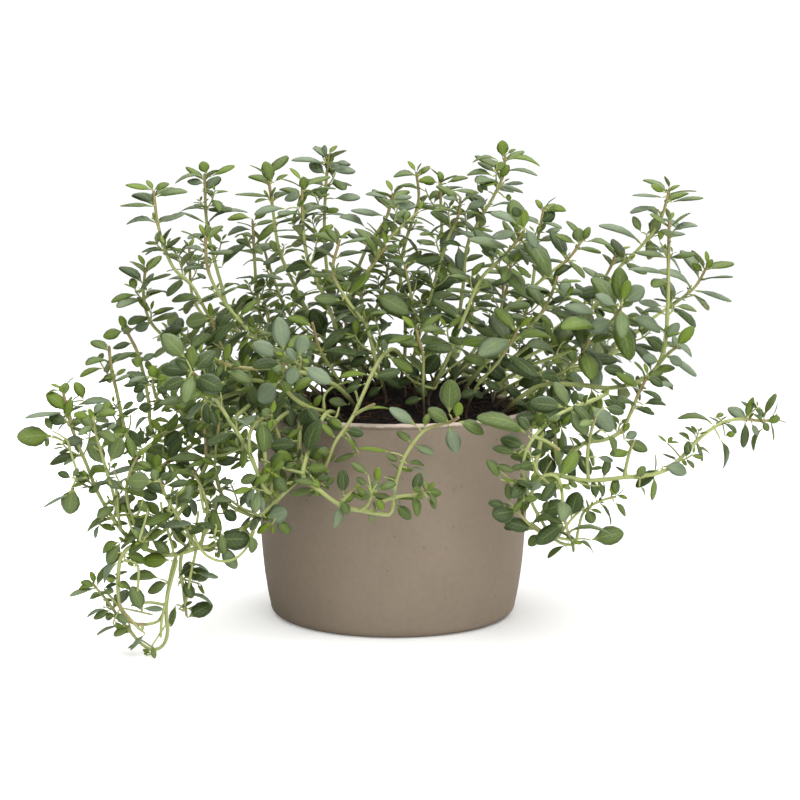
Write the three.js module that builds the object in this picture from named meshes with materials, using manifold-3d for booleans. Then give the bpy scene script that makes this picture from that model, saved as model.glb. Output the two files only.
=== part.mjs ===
// A pot of garden thyme: a thin-walled tapered pot, its plug of soil, and some fifty leafy stems.
//
// Millimetres, +Z up. The origin is the centre of the pot's flat base, -Y is the front.
//
// Each stem is one grown piece: a main stem, its side shoots and their leaves, joined to one solid.
// Its foot stands on the soil. The leaves sit in opposite pairs, each pair turned a quarter turn
// from the last, and a leaf that would touch a neighbour is turned aside, or is left out.

import * as THREE from 'three';
import { mergeVertices } from 'three/addons/utils/BufferGeometryUtils.js';
import Module from 'manifold-3d';

const wasm = await Module();
wasm.setup();

// ---------------------------------------------------------------- driving dimensions

const POT_HEIGHT = 91;
const POT_RIM_RADIUS = 60;
const POT_FOOT_RADIUS = 54;
const POT_BELLY_POWER = 3.7;      // how late the side turns in towards the foot
const POT_CORNER = 3;             // rounding between the side and the base
const POT_WALL = 2.4;
const POT_FLOOR = 3;
const POT_SEGMENTS = 36;

const GAP = 0.3;                  // clearance between pieces that touch on the real plant

const SOIL_GAP = 0.4;             // between the soil and the pot, both faceted
const SOIL_EDGE = 83;             // height of the soil at the pot's wall
const SOIL_CROWN = 16;            // how much higher its middle is, where the root ball stands proud
const SOIL_SHOULDER = 1.5;        // how steeply the mound falls to the wall

const STEM_RADIUS = 0.75;
const STEM_STEP = 13;             // length of one straight stretch of a stem
const SHOOT_RADIUS = 0.6;

const LEAF_WIDTH = 0.52;          // of the leaf's length
const LEAF_THICKNESS = 0.9;
const LEAF_ROOT = 0.35;           // how deep a leaf's base reaches into its stem
const YOUNGEST_LEAF = 0.45;       // the top leaves' length, of the largest leaf
const YOUNG_LIFT = 0.87;          // radians that the top leaves point up from square to the stem
const OLD_LIFT = 0.17;            // and the older ones
const TURN_ASIDE = 0.5;           // radians that a leaf turns to clear its neighbour
const FIRST_JOINT = 2;            // the top pair's distance from the tip
const JOINT_SPACING = 10;
const SPACING_GROWTH = 1.2;       // each joint is this much farther from the next, going down
const BARE_FOOT = 20;             // leafless length at the foot of a main stem
const BARE_SHOOT = 4;             // and at the foot of a side shoot
const STEM_PAIRS = 4;             // most leaf pairs on a main stem
const SHOOT_PAIRS = 2;            // and on a side shoot
const SHOOT_LEAF = 0.85;          // a side shoot's leaves, of the main stem's
const FLOOR_CLEARANCE = 1.2;      // leaves stay this far above the surface that the pot stands on

// The routes are drawn as they look from the front: x and z where the point appears on the upright
// plane through the pot's axis, then the point's own depth y. Seen from this eye point, a route
// keeps its drawn shape whatever its depths are.
const EYE = new THREE.Vector3(2, -829, 201);

// ---------------------------------------------------------------- the stems' routes

// foot: where the stem leaves the soil, [x, y]
// leaf: length of its largest leaves
// route: the main stem from foot to tip, [x, z, depth] as drawn
// shoots: side shoots, each a list like route that starts on the stem

const STEMS = {
  // upright stems, from left to right
  upright_01: {
    foot: [-26, -6], leaf: 10,
    route: [[-45, 112, -8], [-66, 122, -10], [-79, 128, -11], [-88, 143, -12], [-96, 151, -12],
      [-102, 168, -12], [-104, 184, -12]],
  },
  upright_02: {
    foot: [-22, 14], leaf: 9,
    route: [[-40, 112, 18], [-58, 123, 21], [-71, 131, 23], [-76, 146, 24], [-81, 168, 24],
      [-82, 191, 23]],
  },
  upright_03: {
    foot: [-30, -18], leaf: 10,
    route: [[-48, 110, -24], [-64, 124, -28], [-76, 139, -30], [-81, 150, -32], [-82, 164, -34]],
  },
  upright_04: {
    foot: [-36, 4], leaf: 10,
    route: [[-52, 104, 3], [-78, 110, 2], [-96, 118, 0], [-106, 127, -2], [-109, 138, -4],
      [-108, 151, -5]],
  },
  upright_05: {
    foot: [-14, 26], leaf: 9,
    route: [[-30, 112, 30], [-48, 119, 33], [-58, 129, 34], [-60, 142, 35], [-61, 158, 35],
      [-61.5, 171, 35]],
  },
  upright_06: {
    foot: [-16, 4], leaf: 10,
    route: [[-26, 112, 5], [-36, 128, 6], [-44, 144, 6], [-50, 158, 6], [-53, 178, 5],
      [-55, 193, 4]],
  },
  upright_07: {
    foot: [-8, 40], leaf: 8,
    route: [[-28, 114, 46], [-46, 131, 50], [-53, 147, 52], [-57, 160, 53]],
  },
  upright_08: {
    foot: [-28, 28], leaf: 8,
    route: [[-52, 112, 42], [-74, 122, 50], [-87, 136, 54], [-89, 159, 56]],
  },
  upright_09: {
    foot: [-8, -12], leaf: 11,
    route: [[-20, 112, -15], [-31, 139, -18], [-38, 155, -20], [-40, 174, -21], [-40, 188, -21]],
  },
  upright_10: {
    foot: [-8, 18], leaf: 10,
    route: [[-20, 115, 23], [-28, 140, 26], [-30.5, 162, 27], [-30, 184, 27], [-28, 201, 26]],
  },
  upright_11: {
    foot: [-4, -24], leaf: 10,
    route: [[-8, 108, -30], [-13, 126, -34], [-21, 137, -36], [-27, 149, -37], [-24, 163, -38]],
  },
  upright_12: {
    foot: [-4, 6], leaf: 10,
    route: [[-12, 112, 9], [-18, 132, 12], [-17, 147, 12], [-12, 160, 11], [-4, 172, 10],
      [-1, 183, 9]],
  },
  upright_13: {
    foot: [4, -15], leaf: 10,
    route: [[-6, 112, -19], [-14, 132, -22], [-14, 146, -23], [-9, 153, -24], [-4, 160, -25]],
  },
  upright_14: {
    foot: [2, 30], leaf: 9,
    route: [[4, 112, 34], [4, 134, 36], [2, 150, 37], [5, 164, 37], [10, 180, 36], [9, 192, 35]],
  },
  upright_15: {
    foot: [10, 14], leaf: 9,
    route: [[16, 112, 16], [19, 140, 17], [20, 165, 17], [19, 190, 16]],
  },
  upright_16: {
    foot: [6, -5], leaf: 10,
    route: [[8, 112, -7], [13, 131, -9], [18, 148, -11], [22, 162, -12], [27, 173, -13],
      [28, 181, -13]],
  },
  upright_17: {
    foot: [16, 3], leaf: 11,
    route: [[24, 112, 2], [29, 140, 2], [31, 160, 2], [36, 171, 2], [42, 181, 2], [46.5, 193, 1],
      [47, 203, 0]],
  },
  upright_18: {
    foot: [14, -22], leaf: 13,
    route: [[22, 110, -28], [30, 130, -34], [37, 146, -39], [47, 156, -44], [53, 163, -50],
      [55.5, 167, -57]],
  },
  upright_19: {
    foot: [22, 24], leaf: 10,
    route: [[36, 112, 29], [53, 124, 32], [59, 142, 34], [61, 160, 34], [64, 177, 33]],
  },
  upright_20: {
    foot: [22, 10], leaf: 10,
    route: [[32, 112, 11], [44, 128, 12], [56, 139, 12], [66, 148, 11], [75, 155, 10],
      [82, 165, 9]],
  },
  upright_21: {
    foot: [28, -12], leaf: 11,
    route: [[38, 108, -17], [50, 118, -21], [61, 128, -24], [67, 138, -26], [70, 147, -28]],
  },
  upright_22: {
    foot: [16, 38], leaf: 9,
    route: [[34, 112, 46], [44, 128, 49], [48, 141, 50], [50, 153, 50]],
  },
  upright_23: {
    foot: [32, 20], leaf: 11,
    route: [[54, 110, 26], [76, 123, 29], [91, 141, 30], [96, 150, 29], [106, 160, 28],
      [114, 171, 27], [118, 185, 26]],
  },
  upright_24: {
    foot: [40, 6], leaf: 11,
    route: [[60, 104, 6], [76, 107, 6], [88, 110, 5], [97, 115, 4], [105, 123, 3], [113, 130, 2],
      [122, 136, 1], [130, 143, 0], [135, 152, -1]],
  },
  upright_25: {
    foot: [34, -10], leaf: 13,
    route: [[56, 107, -16], [74, 114, -23], [86, 122, -30], [94, 128, -36], [97, 132, -43],
      [98, 134.5, -51]],
  },
  upright_26: {
    foot: [30, 33], leaf: 9,
    route: [[54, 114, 42], [74, 128, 47], [86, 140, 49], [92, 149, 49], [96, 158, 48]],
  },

  // shorter stems that fill the middle
  middle_01: {
    foot: [-18, -26], leaf: 11,
    route: [[-26, 104, -31], [-33, 116, -37], [-36, 127, -43]],
  },
  middle_02: {
    foot: [-12, -4], leaf: 11,
    route: [[-14, 106, -3], [-15, 122, -2], [-20, 146, -3]],
  },
  middle_03: {
    foot: [12, -34], leaf: 11,
    route: [[12, 98, -38], [12, 112, -43], [9, 124, -48]],
  },
  middle_04: {
    foot: [22, -6], leaf: 11,
    route: [[34, 104, -8], [42, 118, -9], [46, 134, -10], [47, 146, -11]],
  },
  middle_05: {
    foot: [30, -26], leaf: 12,
    route: [[36, 100, -32], [44, 109, -38], [50, 118, -45], [53, 124, -51]],
  },
  middle_06: {
    foot: [-32, -8], leaf: 11,
    route: [[-52, 100, -12], [-66, 106, -15], [-76, 118, -18], [-80, 129, -22]],
  },
  middle_07: {
    foot: [42, -8], leaf: 12,
    route: [[60, 100, -12], [72, 105, -20], [80, 112, -28], [84, 119, -37]],
  },

  // stems that lean out over the back
  back_01: {
    foot: [-34, 20], leaf: 11,
    route: [[-58, 100, 40], [-76, 108, 58], [-92, 112, 72], [-98, 124, 82]],
  },
  back_02: {
    foot: [-20, 36], leaf: 11,
    route: [[-34, 106, 58], [-46, 112, 76], [-54, 124, 88], [-57, 138, 94]],
  },
  back_03: {
    foot: [-4, 48], leaf: 11,
    route: [[-8, 104, 66], [-14, 108, 84], [-20, 116, 98], [-22, 130, 104]],
  },
  back_04: {
    foot: [14, 44], leaf: 11,
    route: [[19, 106, 62], [27, 113, 82], [32, 124, 94], [34, 138, 98]],
  },
  back_05: {
    foot: [38, 24], leaf: 11,
    route: [[62, 103, 42], [78, 106, 58], [92, 112, 70], [100, 124, 76]],
  },
  back_06: {
    foot: [28, 36], leaf: 11,
    route: [[40, 104, 52], [50, 104, 66], [63, 101, 82], [76, 106, 96]],
  },
  back_07: {
    foot: [-32, 32], leaf: 11,
    route: [[-42, 102, 46], [-54, 103, 60], [-68, 97, 74], [-80, 99, 86]],
  },

  // stems that droop over the left side
  left_long: {
    foot: [-31, -36], leaf: 12,
    route: [[-40, 88.2, -47], [-42, 72, -60], [-41, 60.5, -64], [-46, 55, -66], [-52, 49, -69],
      [-59, 42.5, -73], [-67, 36, -76], [-75, 30.5, -77], [-82, 28.2, -78], [-88, 27.2, -78],
      [-95, 25, -78], [-101, 24.3, -77], [-107, 25.8, -76], [-113, 28.5, -75], [-119, 33.5, -74],
      [-125, 42, -72], [-131, 53, -70], [-135, 64, -68], [-139, 74, -66], [-142.5, 85, -64],
      [-145, 98, -62]],
    shoots: [
      [[-60, 41.5, -74], [-66, 43, -71], [-73, 47, -68], [-77, 53, -65], [-79, 62, -62],
        [-78.5, 72, -61], [-77, 83, -61]],
      [[-97, 25, -78], [-98.5, 18, -79], [-100.5, 8, -79.5], [-101.5, -2, -80], [-101, -11, -80],
        [-103.5, -17, -80], [-108, -18.5, -80], [-113, -15.5, -80], [-118, -9.5, -80],
        [-123, -3, -80], [-127, 3, -80], [-131, 8, -80], [-134, 12, -80]],
      [[-95, 25, -78], [-95, 17, -75], [-93.8, 10, -73], [-93, 2, -72], [-92.5, -3, -72]],
      [[-88, 27, -78], [-91, 34, -81], [-96, 42, -84], [-100.5, 50, -87], [-103, 57, -91]],
      [[-86, 27.5, -78], [-84, 36, -75], [-82.5, 45, -73], [-85, 54, -73], [-89, 62, -74]],
      [[-113, 28.5, -75], [-114, 36, -77], [-117, 45, -79], [-118, 54, -80], [-116, 62, -81],
        [-113, 68, -83]],
      [[-121, 36, -73], [-123, 48, -76], [-126, 60, -79], [-129, 71, -81], [-131, 79, -84],
        [-131.5, 83.5, -89]],
    ],
  },
  left_hook: {
    foot: [-45, -16], leaf: 10,
    route: [[-57, 94, -21], [-67, 88, -36], [-76, 78, -49], [-84, 62, -59], [-93, 46, -68],
      [-104, 32, -82], [-113, 22, -84], [-120, 12, -84], [-122.5, 6, -84], [-121, -1, -84],
      [-116, -6.5, -84], [-110, -7, -84]],
  },
  left_high: {
    foot: [-42, -6], leaf: 11,
    route: [[-54, 97, -10], [-66, 97, -17], [-76, 94, -25], [-84, 89, -33], [-91, 83.5, -40],
      [-100, 79, -45], [-107, 73.5, -48], [-113.5, 69.5, -50], [-117, 76, -51],
      [-119.5, 86, -52], [-121.5, 97, -52], [-123.5, 106, -52], [-124.5, 117, -52]],
    shoots: [
      [[-91, 83.5, -40], [-94, 88, -43], [-99, 91, -46], [-104, 94, -49], [-105.5, 99, -54],
        [-105.5, 102.5, -60]],
    ],
  },
  left_thin: {
    foot: [-45, 8], leaf: 9,
    route: [[-58, 97, 9], [-74, 92, 8], [-88, 84, 5], [-98, 76, 2], [-104, 75.5, 0],
      [-107, 83, -2], [-107.6, 92, -3], [-109, 101, -4], [-110.5, 108, -5], [-112.5, 115, -6],
      [-117, 124, -7]],
  },
  left_bow: {
    foot: [-36, -16], leaf: 11,
    route: [[-50, 99, -22], [-66, 102, -32], [-78, 99, -43], [-83.5, 92, -51], [-84, 84, -55],
      [-83, 76, -57], [-83, 68, -59]],
  },
  left_rosette: {
    foot: [-36, -33], leaf: 13,
    route: [[-46, 88, -44], [-56, 78, -56], [-57, 66, -68], [-54.5, 56, -75], [-55, 52, -77],
      [-58, 55, -79], [-60.5, 61, -79], [-64, 70, -79], [-68, 77, -78], [-73, 85, -77],
      [-78, 93, -76], [-83, 100, -77], [-87, 104, -81], [-88.5, 105.5, -88]],
    shoots: [
      [[-63.5, 69, -79], [-64, 75, -81], [-63, 80, -82], [-60, 84, -83], [-56.5, 85.5, -85],
        [-54, 86.5, -89]],
    ],
  },
  left_low: {
    foot: [-46, -2], leaf: 11,
    route: [[-60, 94, -4], [-72, 88, -12], [-84, 78, -24], [-93, 70, -36], [-99, 66, -46],
      [-102, 64.5, -56]],
  },

  // stems that fall over the front
  front_pair: {
    foot: [-25, -33], leaf: 14,
    route: [[-31, 88, -46], [-38, 90, -56], [-43, 93, -62], [-47, 97, -67], [-49, 103, -71],
      [-48.5, 109, -76], [-48, 113, -83]],
    shoots: [
      [[-47, 97, -67], [-44.5, 102, -73], [-42, 107, -80], [-41, 111.5, -90]],
    ],
  },
  front_left: {
    foot: [-16, -34], leaf: 11,
    route: [[-24, 98, -44], [-36, 104, -54], [-50, 107, -62], [-62, 107, -68], [-72, 108, -72],
      [-76, 110, -77]],
  },
  front_arch: {
    foot: [8, -26], leaf: 10,
    route: [[4, 108, -34], [-1, 116, -42], [-6, 112, -48], [-10, 105, -53], [-14, 96, -58],
      [-18, 87, -62], [-22, 80.5, -66], [-26, 75, -69], [-29, 68, -71], [-31.5, 61, -72],
      [-34, 54, -73]],
    shoots: [
      [[-18, 87, -62], [-14, 89, -65], [-9, 91.5, -68]],
    ],
  },
  front_long: {
    foot: [-22, -40], leaf: 11,
    route: [[-29, 88, -51], [-35, 79, -63], [-39, 68, -70], [-40.5, 60, -74], [-38, 56.5, -77],
      [-33, 53, -78], [-28, 49, -79], [-22, 45.5, -80], [-14, 44, -81], [-7, 42.8, -81],
      [-2.5, 42.5, -81], [-0.8, 47, -80], [-0.3, 54, -79], [1.5, 61.5, -78], [4.5, 69, -77],
      [8.5, 75, -76], [13, 80, -75], [19, 82.3, -75], [24, 83.5, -79], [27.5, 85.5, -86]],
    shoots: [
      [[-17, 44.5, -81], [-13, 46, -84], [-11, 49, -88], [-10.5, 52, -94]],
      [[-11, 43.5, -81], [-5, 48.5, -83], [3, 50.7, -84], [9, 51.2, -86], [14, 53, -90]],
      [[-25, 47, -80], [-22, 50, -83], [-18, 54, -86]],
    ],
  },
  front_hang: {
    foot: [-42, -26], leaf: 8,
    route: [[-51, 90, -36], [-52.5, 82, -49], [-50, 75, -56], [-47.5, 69, -58], [-45.5, 64, -59]],
  },

  // stems that droop over the right side
  right_crown: {
    foot: [45, -18], leaf: 14,
    route: [[62, 99, -26], [78, 100, -34], [93, 98.5, -40], [102, 100, -42], [109, 103, -43],
      [114, 108, -44], [117, 117, -44], [118, 132, -43], [118, 148, -42], [118, 171, -40]],
    shoots: [
      [[93, 98.5, -40], [92, 96, -50], [87, 93.5, -60], [79, 90.5, -69], [70, 86, -76],
        [61.5, 78, -80], [57, 70, -81], [56, 61, -80], [58.5, 51, -79], [64, 40, -77],
        [70, 31.5, -75], [75, 29, -74], [79, 29.5, -73], [80.5, 36, -72], [83, 44, -71],
        [90, 48.5, -70], [97, 50.5, -70]],
      [[114, 108, -44], [118, 113, -50], [123, 117, -59]],
    ],
  },
  right_knee: {
    foot: [48, 0], leaf: 13,
    route: [[61, 94, -8], [68, 86, -26], [70, 74, -42], [71.5, 66, -52], [74.5, 66.5, -56],
      [78.5, 72, -58], [84, 74.5, -58], [91, 75.5, -57], [98, 79, -56], [102.5, 87, -55],
      [106, 96, -54], [110, 104, -55]],
  },
  right_long: {
    foot: [48, -10], leaf: 11,
    route: [[59, 91, -20], [64, 84, -40], [63, 72, -58], [61.5, 62, -69], [64, 59, -72],
      [69, 60.3, -73], [76, 58.8, -72], [84, 57.6, -70], [92, 58, -67], [100, 59, -64],
      [108, 59.7, -61], [115, 60.8, -58], [120, 63, -56], [124, 66.5, -54], [128, 71, -52],
      [133, 76.3, -49], [139, 81, -46], [145, 84, -43], [152, 84.8, -39], [160, 84, -35],
      [166, 84.5, -32]],
    shoots: [
      [[84, 57.6, -70], [84, 66, -72], [84.5, 74, -73], [86, 81, -76], [87.5, 86, -82]],
      [[101, 59, -64], [101.5, 66, -66], [103, 72, -69], [104.5, 75.5, -74]],
    ],
  },
};

// ---------------------------------------------------------------- the pot and its soil

// The side's outer radius at a height: nearly upright above, turned in towards the foot.
function potRadius(z) {
  const depth = 1 - z / POT_HEIGHT;
  return POT_RIM_RADIUS - (POT_RIM_RADIUS - POT_FOOT_RADIUS) * depth ** POT_BELLY_POWER;
}

function potGeometry() {
  const profile = [new THREE.Vector2(0, 0)];
  const corners = 2;
  for (let i = 0; i <= corners; i++) {
    const turn = (i / corners) * Math.PI / 2;
    profile.push(new THREE.Vector2(
      potRadius(POT_CORNER) - POT_CORNER * (1 - Math.sin(turn)),
      POT_CORNER * (1 - Math.cos(turn)),
    ));
  }
  const heights = [14, 28, 48, POT_HEIGHT];
  for (const z of heights) {
    profile.push(new THREE.Vector2(potRadius(z), z));
  }
  for (const z of [...heights].reverse()) {
    profile.push(new THREE.Vector2(potRadius(z) - POT_WALL, z));
  }
  profile.push(new THREE.Vector2(potRadius(POT_FLOOR) - POT_WALL, POT_FLOOR));
  profile.push(new THREE.Vector2(0, POT_FLOOR));
  return lathe(profile);
}

function soilTop(radius) {
  const edge = potRadius(SOIL_EDGE) - POT_WALL;
  return SOIL_EDGE + SOIL_CROWN * (1 - (radius / edge) ** 2) ** SOIL_SHOULDER;
}

function soilGeometry() {
  const side = (z) => potRadius(z) - POT_WALL - SOIL_GAP;
  const bottom = POT_FLOOR + SOIL_GAP;
  const profile = [new THREE.Vector2(0, bottom)];
  for (const z of [bottom, 14, 28, 48, SOIL_EDGE]) {
    profile.push(new THREE.Vector2(side(z), z));
  }
  const rings = 6;
  for (let i = rings - 1; i >= 0; i--) {
    const radius = side(SOIL_EDGE) * i / rings;
    profile.push(new THREE.Vector2(radius, soilTop(radius)));
  }
  return lathe(profile);
}

// Turns a profile of (radius, height) points about the Z axis.
function lathe(profile) {
  const geometry = new THREE.LatheGeometry(profile, POT_SEGMENTS);
  geometry.rotateX(Math.PI / 2);
  return geometry;
}

// ---------------------------------------------------------------- solids

// A closed geometry as a solid that can be joined and measured. Triangles that shrink to a line
// where a turned profile meets its axis are dropped.
function toSolid(geometry) {
  const bare = geometry.clone();
  bare.deleteAttribute('normal');
  bare.deleteAttribute('uv');
  const merged = mergeVertices(bare, 1e-4);
  const kept = [];
  const index = merged.index.array;
  for (let i = 0; i < index.length; i += 3) {
    const [a, b, c] = [index[i], index[i + 1], index[i + 2]];
    if (a !== b && b !== c && c !== a) {
      kept.push(a, b, c);
    }
  }
  return new wasm.Manifold(new wasm.Mesh({
    numProp: 3,
    vertProperties: new Float32Array(merged.attributes.position.array),
    triVerts: new Uint32Array(kept),
  }));
}

function toGeometry(solid) {
  const mesh = solid.getMesh();
  const geometry = new THREE.BufferGeometry();
  geometry.setAttribute('position', new THREE.Float32BufferAttribute(mesh.vertProperties, 3));
  geometry.setIndex(new THREE.Uint32BufferAttribute(mesh.triVerts, 1));
  geometry.computeVertexNormals();
  return geometry;
}

// ---------------------------------------------------------------- stems

// The place of a route point: on the sight line through its drawn place, at its own depth.
function along(point) {
  const [x, z, depth] = point;
  const drawn = new THREE.Vector3(x, 0, z);
  const share = (depth - EYE.y) / -EYE.y;
  return drawn.sub(EYE).multiplyScalar(share).add(EYE);
}

function curveThrough(points) {
  return new THREE.CatmullRomCurve3(points, false, 'centripetal');
}

// The main stem stands on the soil and rises straight for its first stretch. Its level foot clears
// the mound on the uphill side.
function mainCurve(stem) {
  const [x, y] = stem.foot;
  const uphill = Math.max(0, Math.hypot(x, y) - STEM_RADIUS);
  const foot = new THREE.Vector3(x, y, soilTop(uphill) + GAP + 0.1);
  const rise = foot.clone();
  rise.z += 2;
  return curveThrough([foot, rise, ...stem.route.map(along)]);
}

// A side shoot's first point is moved onto the main stem.
function shootCurve(main, points) {
  const places = points.map(along);
  const samples = 400;
  let nearest = pointOnStem(main, 0);
  for (let i = 1; i <= samples; i++) {
    const sample = pointOnStem(main, i / samples);
    if (sample.distanceTo(places[0]) < nearest.distanceTo(places[0])) {
      nearest = sample;
    }
  }
  return curveThrough([nearest, ...places.slice(1)]);
}

// A stem is built of straight stretches of equal length.
function stretches(curve) {
  return Math.max(3, Math.round(curve.getLength() / STEM_STEP));
}

// A point on the built stem, from 0 at its foot to 1 at its tip.
function pointOnStem(curve, at) {
  const steps = stretches(curve);
  const stretch = Math.min(Math.floor(at * steps), steps - 1);
  const start = curve.getPointAt(stretch / steps);
  const end = curve.getPointAt((stretch + 1) / steps);
  return start.lerp(end, at * steps - stretch);
}

// Thyme stems are four-sided.
function tube(curve, radius) {
  const section = new THREE.Shape([
    new THREE.Vector2(radius, 0),
    new THREE.Vector2(0, radius),
    new THREE.Vector2(-radius, 0),
    new THREE.Vector2(0, -radius),
  ]);
  return new THREE.ExtrudeGeometry(section, { steps: stretches(curve), extrudePath: curve });
}

// ---------------------------------------------------------------- leaves

// A repeatable number from 0 to 1 for two whole numbers.
function scatter(a, b) {
  const value = Math.sin(a * 12.9898 + b * 78.233) * 43758.5453;
  return value - Math.floor(value);
}

// The distances of the leaf joints from the tip.
function jointDistances(length, bare, pairs) {
  const distances = [];
  let distance = FIRST_JOINT;
  let spacing = JOINT_SPACING;
  while (distance < length - bare && distances.length < pairs) {
    distances.push(distance);
    distance += spacing;
    spacing *= SPACING_GROWTH;
  }
  return distances;
}

// A blade one unit long: base, widest points, tip, and the raised middle of its upper face.
function leafBlade() {
  const [base, right, tip, left, middle] = [0, 1, 2, 3, 4];
  const corners = [0, 0, 0, 0.5, -1, 0, 1, 0, 0, 0.5, 1, 0, 0.5, 0, 1];
  const faces = [
    [base, right, middle], [right, tip, middle], [tip, left, middle], [left, base, middle],
    [base, left, right], [left, tip, right],
  ];
  const blade = new THREE.BufferGeometry();
  blade.setAttribute('position', new THREE.Float32BufferAttribute(corners, 3));
  blade.setIndex(faces.flat());
  return blade;
}

// One leaf from its stem outwards. turn is its direction about the stem, and lift its angle above
// the plane square to the stem.
function leafSolid(origin, tangent, turn, lift, length) {
  const side = new THREE.Vector3(0, 0, 1).cross(tangent);
  if (side.length() < 0.2) {
    side.set(1, 0, 0);
  }
  side.addScaledVector(tangent, -side.dot(tangent)).normalize();
  const radial = side.clone().applyAxisAngle(tangent, turn);
  const across = tangent.clone().cross(radial);
  const out = radial.clone().multiplyScalar(Math.cos(lift)).addScaledVector(tangent, Math.sin(lift));
  const face = out.clone().cross(across);
  const leaf = leafBlade();
  leaf.scale(length, length * LEAF_WIDTH / 2, LEAF_THICKNESS);
  leaf.applyMatrix4(new THREE.Matrix4().makeBasis(out, across, face));
  const root = origin.clone().addScaledVector(out, -LEAF_ROOT);
  leaf.translate(root.x, root.y, root.z);
  return toSolid(leaf);
}

function boxOf(solid) {
  const box = solid.boundingBox();
  return new THREE.Box3(new THREE.Vector3(...box.min), new THREE.Vector3(...box.max));
}

// True if a leaf keeps its gap to the ground, the pot, the soil and all that other plants own.
function isClear(solid, owner, obstacles) {
  const reach = boxOf(solid).expandByScalar(GAP);
  for (const obstacle of obstacles) {
    if (obstacle.owner !== owner && reach.intersectsBox(obstacle.box)
      && solid.minGap(obstacle.solid, GAP) < GAP * 0.99) {
      return false;
    }
  }
  return reach.min.z > FLOOR_CLEARANCE;
}

// The leaves of one curve, each turned aside to the left or right where it would touch something.
// The youngest leaves, at the tip, are small and point up; the older ones spread.
function addLeaves(curve, growth, seed, owner, obstacles) {
  const leaves = [];
  const length = curve.getLength();
  jointDistances(length, growth.bare, growth.pairs).forEach((distance, joint) => {
    const at = 1 - distance / length;
    const origin = pointOnStem(curve, at);
    const tangent = curve.getTangentAt(at);
    const age = Math.min(1, (joint + 1) / 4);
    const share = THREE.MathUtils.lerp(YOUNGEST_LEAF, 1, age);
    const size = growth.leaf * share * (0.85 + 0.3 * scatter(seed, joint));
    const lift = THREE.MathUtils.lerp(YOUNG_LIFT, OLD_LIFT, age) + 0.17 * scatter(seed, joint + 50);
    for (const half of [0, 1]) {
      const turn = (joint + seed) * Math.PI / 2 + half * Math.PI
        + 0.5 * (scatter(seed, joint * 2 + half + 90) - 0.5);
      for (const aside of [0, TURN_ASIDE, -TURN_ASIDE]) {
        const leaf = leafSolid(origin, tangent, turn + aside, lift, size);
        if (isClear(leaf, owner, obstacles)) {
          obstacles.push({ owner, solid: leaf, box: boxOf(leaf) });
          leaves.push(leaf);
          break;
        }
      }
    }
  });
  return leaves;
}

// ---------------------------------------------------------------- the object

const POT_LOOK = { color: 0x8f8476, roughness: 0.65, metalness: 0 };
const SOIL_LOOK = { color: 0x1d1613, roughness: 1, metalness: 0 };
const STEM_LOOK = { color: 0x5f7f45, roughness: 0.6, metalness: 0 };

function namedMesh(name, geometry, look) {
  const mesh = new THREE.Mesh(geometry, new THREE.MeshStandardMaterial(look));
  mesh.name = name;
  return mesh;
}

const group = new THREE.Group();
const pot = toSolid(potGeometry());
const soil = toSolid(soilGeometry());
group.add(namedMesh('pot', toGeometry(pot), POT_LOOK));
group.add(namedMesh('soil', toGeometry(soil), SOIL_LOOK));

const obstacles = [
  { owner: 'pot', solid: pot, box: boxOf(pot) },
  { owner: 'soil', solid: soil, box: boxOf(soil) },
];

// All bare stems come first, so that every leaf can keep clear of them.
const plants = Object.entries(STEMS).map(([name, stem], number) => {
  const main = mainCurve(stem);
  const shoots = (stem.shoots ?? []).map((points) => shootCurve(main, points));
  const tubes = [toSolid(tube(main, STEM_RADIUS))];
  for (const shoot of shoots) {
    tubes.push(toSolid(tube(shoot, SHOOT_RADIUS)));
  }
  const wood = wasm.Manifold.union(tubes);
  obstacles.push({ owner: name, solid: wood, box: boxOf(wood) });
  return { name, number, stem, main, shoots, wood };
});

for (const plant of plants) {
  const { name, number, stem, main, shoots, wood } = plant;
  const onStem = { leaf: stem.leaf, bare: BARE_FOOT, pairs: STEM_PAIRS };
  const onShoot = { leaf: stem.leaf * SHOOT_LEAF, bare: BARE_SHOOT, pairs: SHOOT_PAIRS };
  const pieces = [wood, ...addLeaves(main, onStem, number, name, obstacles)];
  shoots.forEach((shoot, index) => {
    pieces.push(...addLeaves(shoot, onShoot, number + 100 * (index + 1), name, obstacles));
  });
  group.add(namedMesh(name, toGeometry(wasm.Manifold.union(pieces)), STEM_LOOK));
}

export default group;
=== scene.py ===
# %% [markdown]
# # A pot of garden thyme
#
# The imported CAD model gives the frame: a pot, its plug of soil and 55 leafy stems, in metres, with
# +Z up and the origin under the middle of the pot. Its leaves are few and thick, because a solid
# for every leaf would be far too heavy. This lesson grows the full plant along the same routes:
# square stems, opposite pairs of leaves, small shoots in the leaf corners, and then the pot and
# the soil.

import math
import random

import bmesh
import bpy
import numpy as np
from mathutils import Matrix, Quaternion, Vector, noise


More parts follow.
